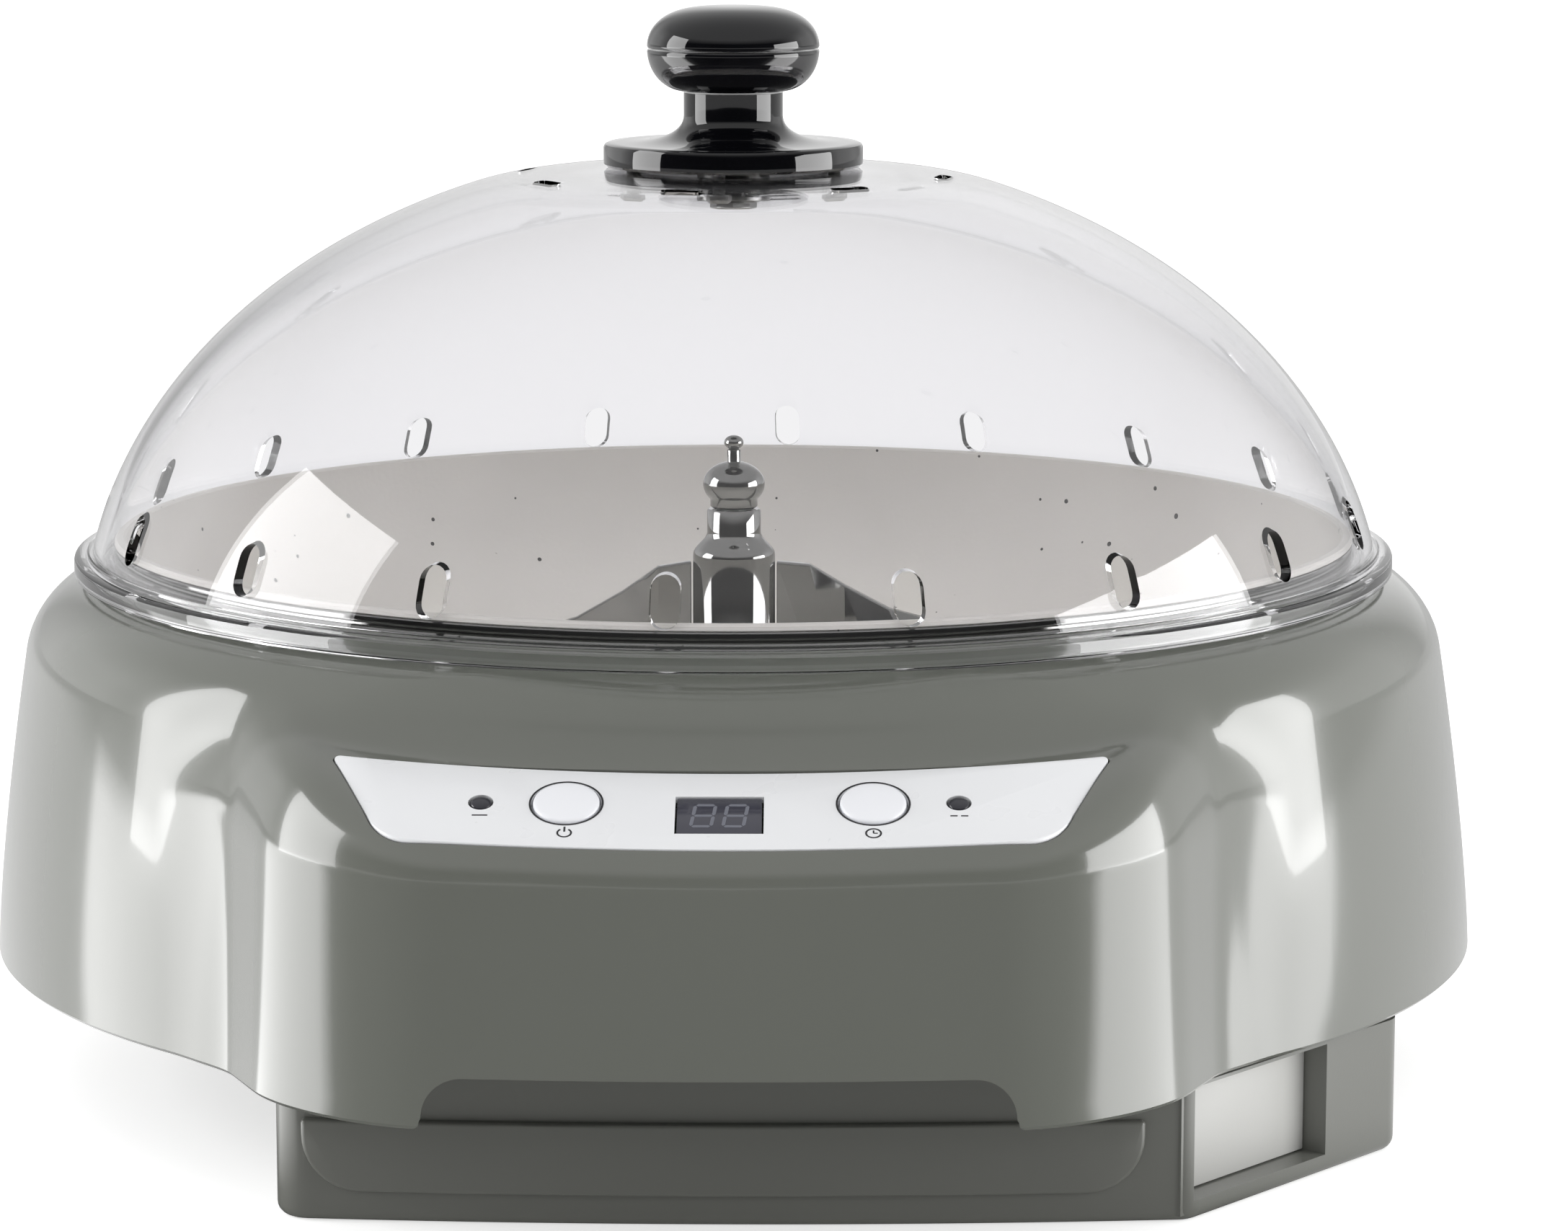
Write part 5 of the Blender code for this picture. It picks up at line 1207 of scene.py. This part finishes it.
# Small pieces whose CAD form is right get softened edges
smallPieces = ("foot_", "base_screw", "knob_plate_screw", "knob_screw", "knob_washer", "cable_gland")
for node in nodes:
    if node.startswith(smallPieces):
        finerCopy(node)
print("small pieces made")

# Floor, light and camera. What the glossy surfaces mirror is a plain surround: dark in front of the
# object, bright beside it, calmer behind it. Its stops run from straight behind (0) to straight in
# front (1), each with a brightness
stage = {
    "floorSize": 24.0,
    "floorColour": (0.90, 0.90, 0.90),
    "floorGlow": 0.28,
    "floorSeen": 0.55,
    "level": 0.34,
    "overheadLevel": 0.84,
    "insideLevel": 2.15,
    "ceiling": 0.60,
    "dark": 0.05,
    "clear": 0.93,
    "brightest": 5.0,
    "front": (-0.085, -1.0, 0.0),
    "onFloor": (
        (0.0, 0.5), (0.03, 0.6), (0.27, 1.2), (0.295, 1.3), (0.3125, 4.2),
        (0.595, 4.2), (0.65, 0.3), (0.73, 0.06), (1.0, 0.02),
    ),
    "inSky": (
        (0.0, 0.9), (0.05, 0.45), (0.12, 0.8), (0.30, 1.1), (0.50, 0.5),
        (0.65, 0.10), (0.73, 0.03), (1.0, 0.015),
    ),
    "seenThrough": (
        (0.0, 0.92), (0.12, 0.92), (0.2, 0.15), (0.39, 0.2), (0.40, 4.5),
        (0.73, 4.5), (0.74, 0.03), (1.0, 0.01),
    ),
    "floorMiddle": (0.0, 0.15, 0.0),
    "darkMiddle": (0.09, 0.05),
    "floorFade": (1.1, 0.625),
    "overhead": (0.3, 0.25),
    "boxes": {
        "softboxLeft": {"place": (-0.95, -0.14, 0.38), "size": (0.56, 0.75), "watts": 6.5},
        "softboxRight": {"place": (0.95, -0.24, 0.235), "size": (0.74, 0.46), "watts": 6.0},
    },
    "cameraPlace": (0.0174, -0.9842, 0.2538),
    "cameraForward": (-0.0077, 0.9860, -0.1666),
    "lens": 117.66,
}


# Brightness of the surround from a direction or a place on the floor, as shares of the brightest
def surround(graph, direction, levels):
    flat = graph.vector("MULTIPLY", direction, (1.0, 1.0, 0.0))
    toFront = graph.vector("DOT_PRODUCT", graph.vector("NORMALIZE", flat), stage["front"], "Value")
    stops = [(place, (level / stage["brightest"],) * 3) for place, level in levels]
    return graph.add("ShaderNodeValToRGB", {"stops": stops}, {0: toFront * 0.5 + 0.5})


def grey(level):
    return (level / stage["brightest"],) * 3 + (1.0,)


# A share that rises from 0 at a start to 1 at the end of a run
def rising(value, start, run):
    return value.sum("DIVIDE", value - start, run, True)


floorMesh = bmesh.new()
bmesh.ops.create_grid(floorMesh, x_segments=1, y_segments=1, size=stage["floorSize"] / 2)
bmesh.ops.translate(floorMesh, verts=floorMesh.verts, vec=(0, 0, -0.02 * mm))
ground = Finish("studioFloor", Roughness=0.9, Specular_IOR_Level=0.0)
ground.set(Base_Color=(*stage["floorColour"], 1.0))
shades = [(level,) * 3 for level in (stage["floorGlow"], stage["floorSeen"])]
ground.set(Emission_Color=ground.mixColour(ground.path("Is Camera Ray"), *shades), Emission_Strength=1.0)
mirror = ground.path("Is Glossy Ray")
through = ground.path("Is Transmission Ray")
depth = ground.path("Diffuse Depth")
turned = ground.path("Glossy Depth") > 0.5
shifted = ground.vector("ADD", ground.place, stage["floorMiddle"])
distance = ground.vector("LENGTH", ground.place, output="Value")
across = ground.add("ShaderNodeSeparateXYZ", None, {0: ground.place}, "X")
aside = rising(across.sum("ABSOLUTE", across), *stage["darkMiddle"])
far = rising(distance, *stage["floorFade"])
seen = ground.blend(aside, grey(stage["dark"]), surround(ground, shifted, stage["onFloor"]))
seen = ground.blend(far, seen, grey(stage["ceiling"]))
beyond = surround(ground, ground.place, stage["seenThrough"])
seen = ground.blend(through, seen, ground.blend(turned, grey(stage["clear"]), beyond))
glow = ground.add("ShaderNodeEmission", None, {"Color": seen, "Strength": stage["brightest"]})
plain = Wire(ground, ground.shader.outputs[0])
apart = mirror.sum("ADD", mirror, through, True) * (depth < 0.5)
shown = ground.add("ShaderNodeMixShader", None, {0: apart, 1: plain, 2: glow})
ground.feed(ground.tree.nodes["Material Output"].inputs["Surface"], shown)
settle("studioFloor", floorMesh, ground.material)

world = bpy.data.worlds.new("studio")
scene.world = world
world.use_nodes = True
sky = Graph(world.node_tree)
direction = sky.add("ShaderNodeTexCoord", output="Generated")
height = sky.add("ShaderNodeSeparateXYZ", None, {0: direction}, "Z")
overhead = rising(height, *stage["overhead"])
depth = sky.path("Diffuse Depth")
mirrored = sky.blend(overhead, surround(sky, direction, stage["inSky"]), grey(stage["ceiling"]))
turned = sky.path("Glossy Depth") > 0.5
seen = sky.blend(overhead, surround(sky, direction, stage["seenThrough"]), grey(1.0))
seen = sky.blend(turned, grey(stage["clear"]), seen)
colour = sky.blend(sky.path("Is Glossy Ray"), seen, mirrored)
lit = sky.blend(overhead, grey(stage["level"]), grey(stage["overheadLevel"]))
lit = sky.blend(sky.path("Is Transmission Ray"), lit, grey(stage["insideLevel"]))
colour = sky.blend(depth > 0.5, colour, lit)
colour = sky.blend(sky.path("Is Camera Ray"), colour, grey(1.0))
background = world.node_tree.nodes["Background"]
sky.feed(background.inputs["Color"], colour)
background.inputs["Strength"].default_value = stage["brightest"]

# Rectangular lamps that face the object's axis
for name, box in stage["boxes"].items():
    lamp = bpy.data.lights.new(name, "AREA")
    lamp.shape = "RECTANGLE"
    lamp.size, lamp.size_y = box["size"]
    lamp.energy = box["watts"]
    holder = bpy.data.objects.new(name, lamp)
    scene.collection.objects.link(holder)
    holder.location = box["place"]
    holder.rotation_euler = Vector((-box["place"][0], 0, 0)).to_track_quat("-Z", "Y").to_euler()

camera = bpy.data.cameras.new("photoView")
camera.lens = stage["lens"]
camera.sensor_width = 36.0
camera.sensor_fit = "HORIZONTAL"
camera.clip_start = 0.01
camera.clip_end = 100.0
view = bpy.data.objects.new("photoView", camera)
scene.collection.objects.link(view)
forward = Vector(stage["cameraForward"]).normalized()
right = forward.cross(Vector((0, 0, 1))).normalized()
up = right.cross(forward)
turn = Matrix((right, up, -forward)).transposed().to_4x4()
view.matrix_world = Matrix.Translation(stage["cameraPlace"]) @ turn
scene.camera = view
scene.view_settings.view_transform = "Standard"
print("stage set")
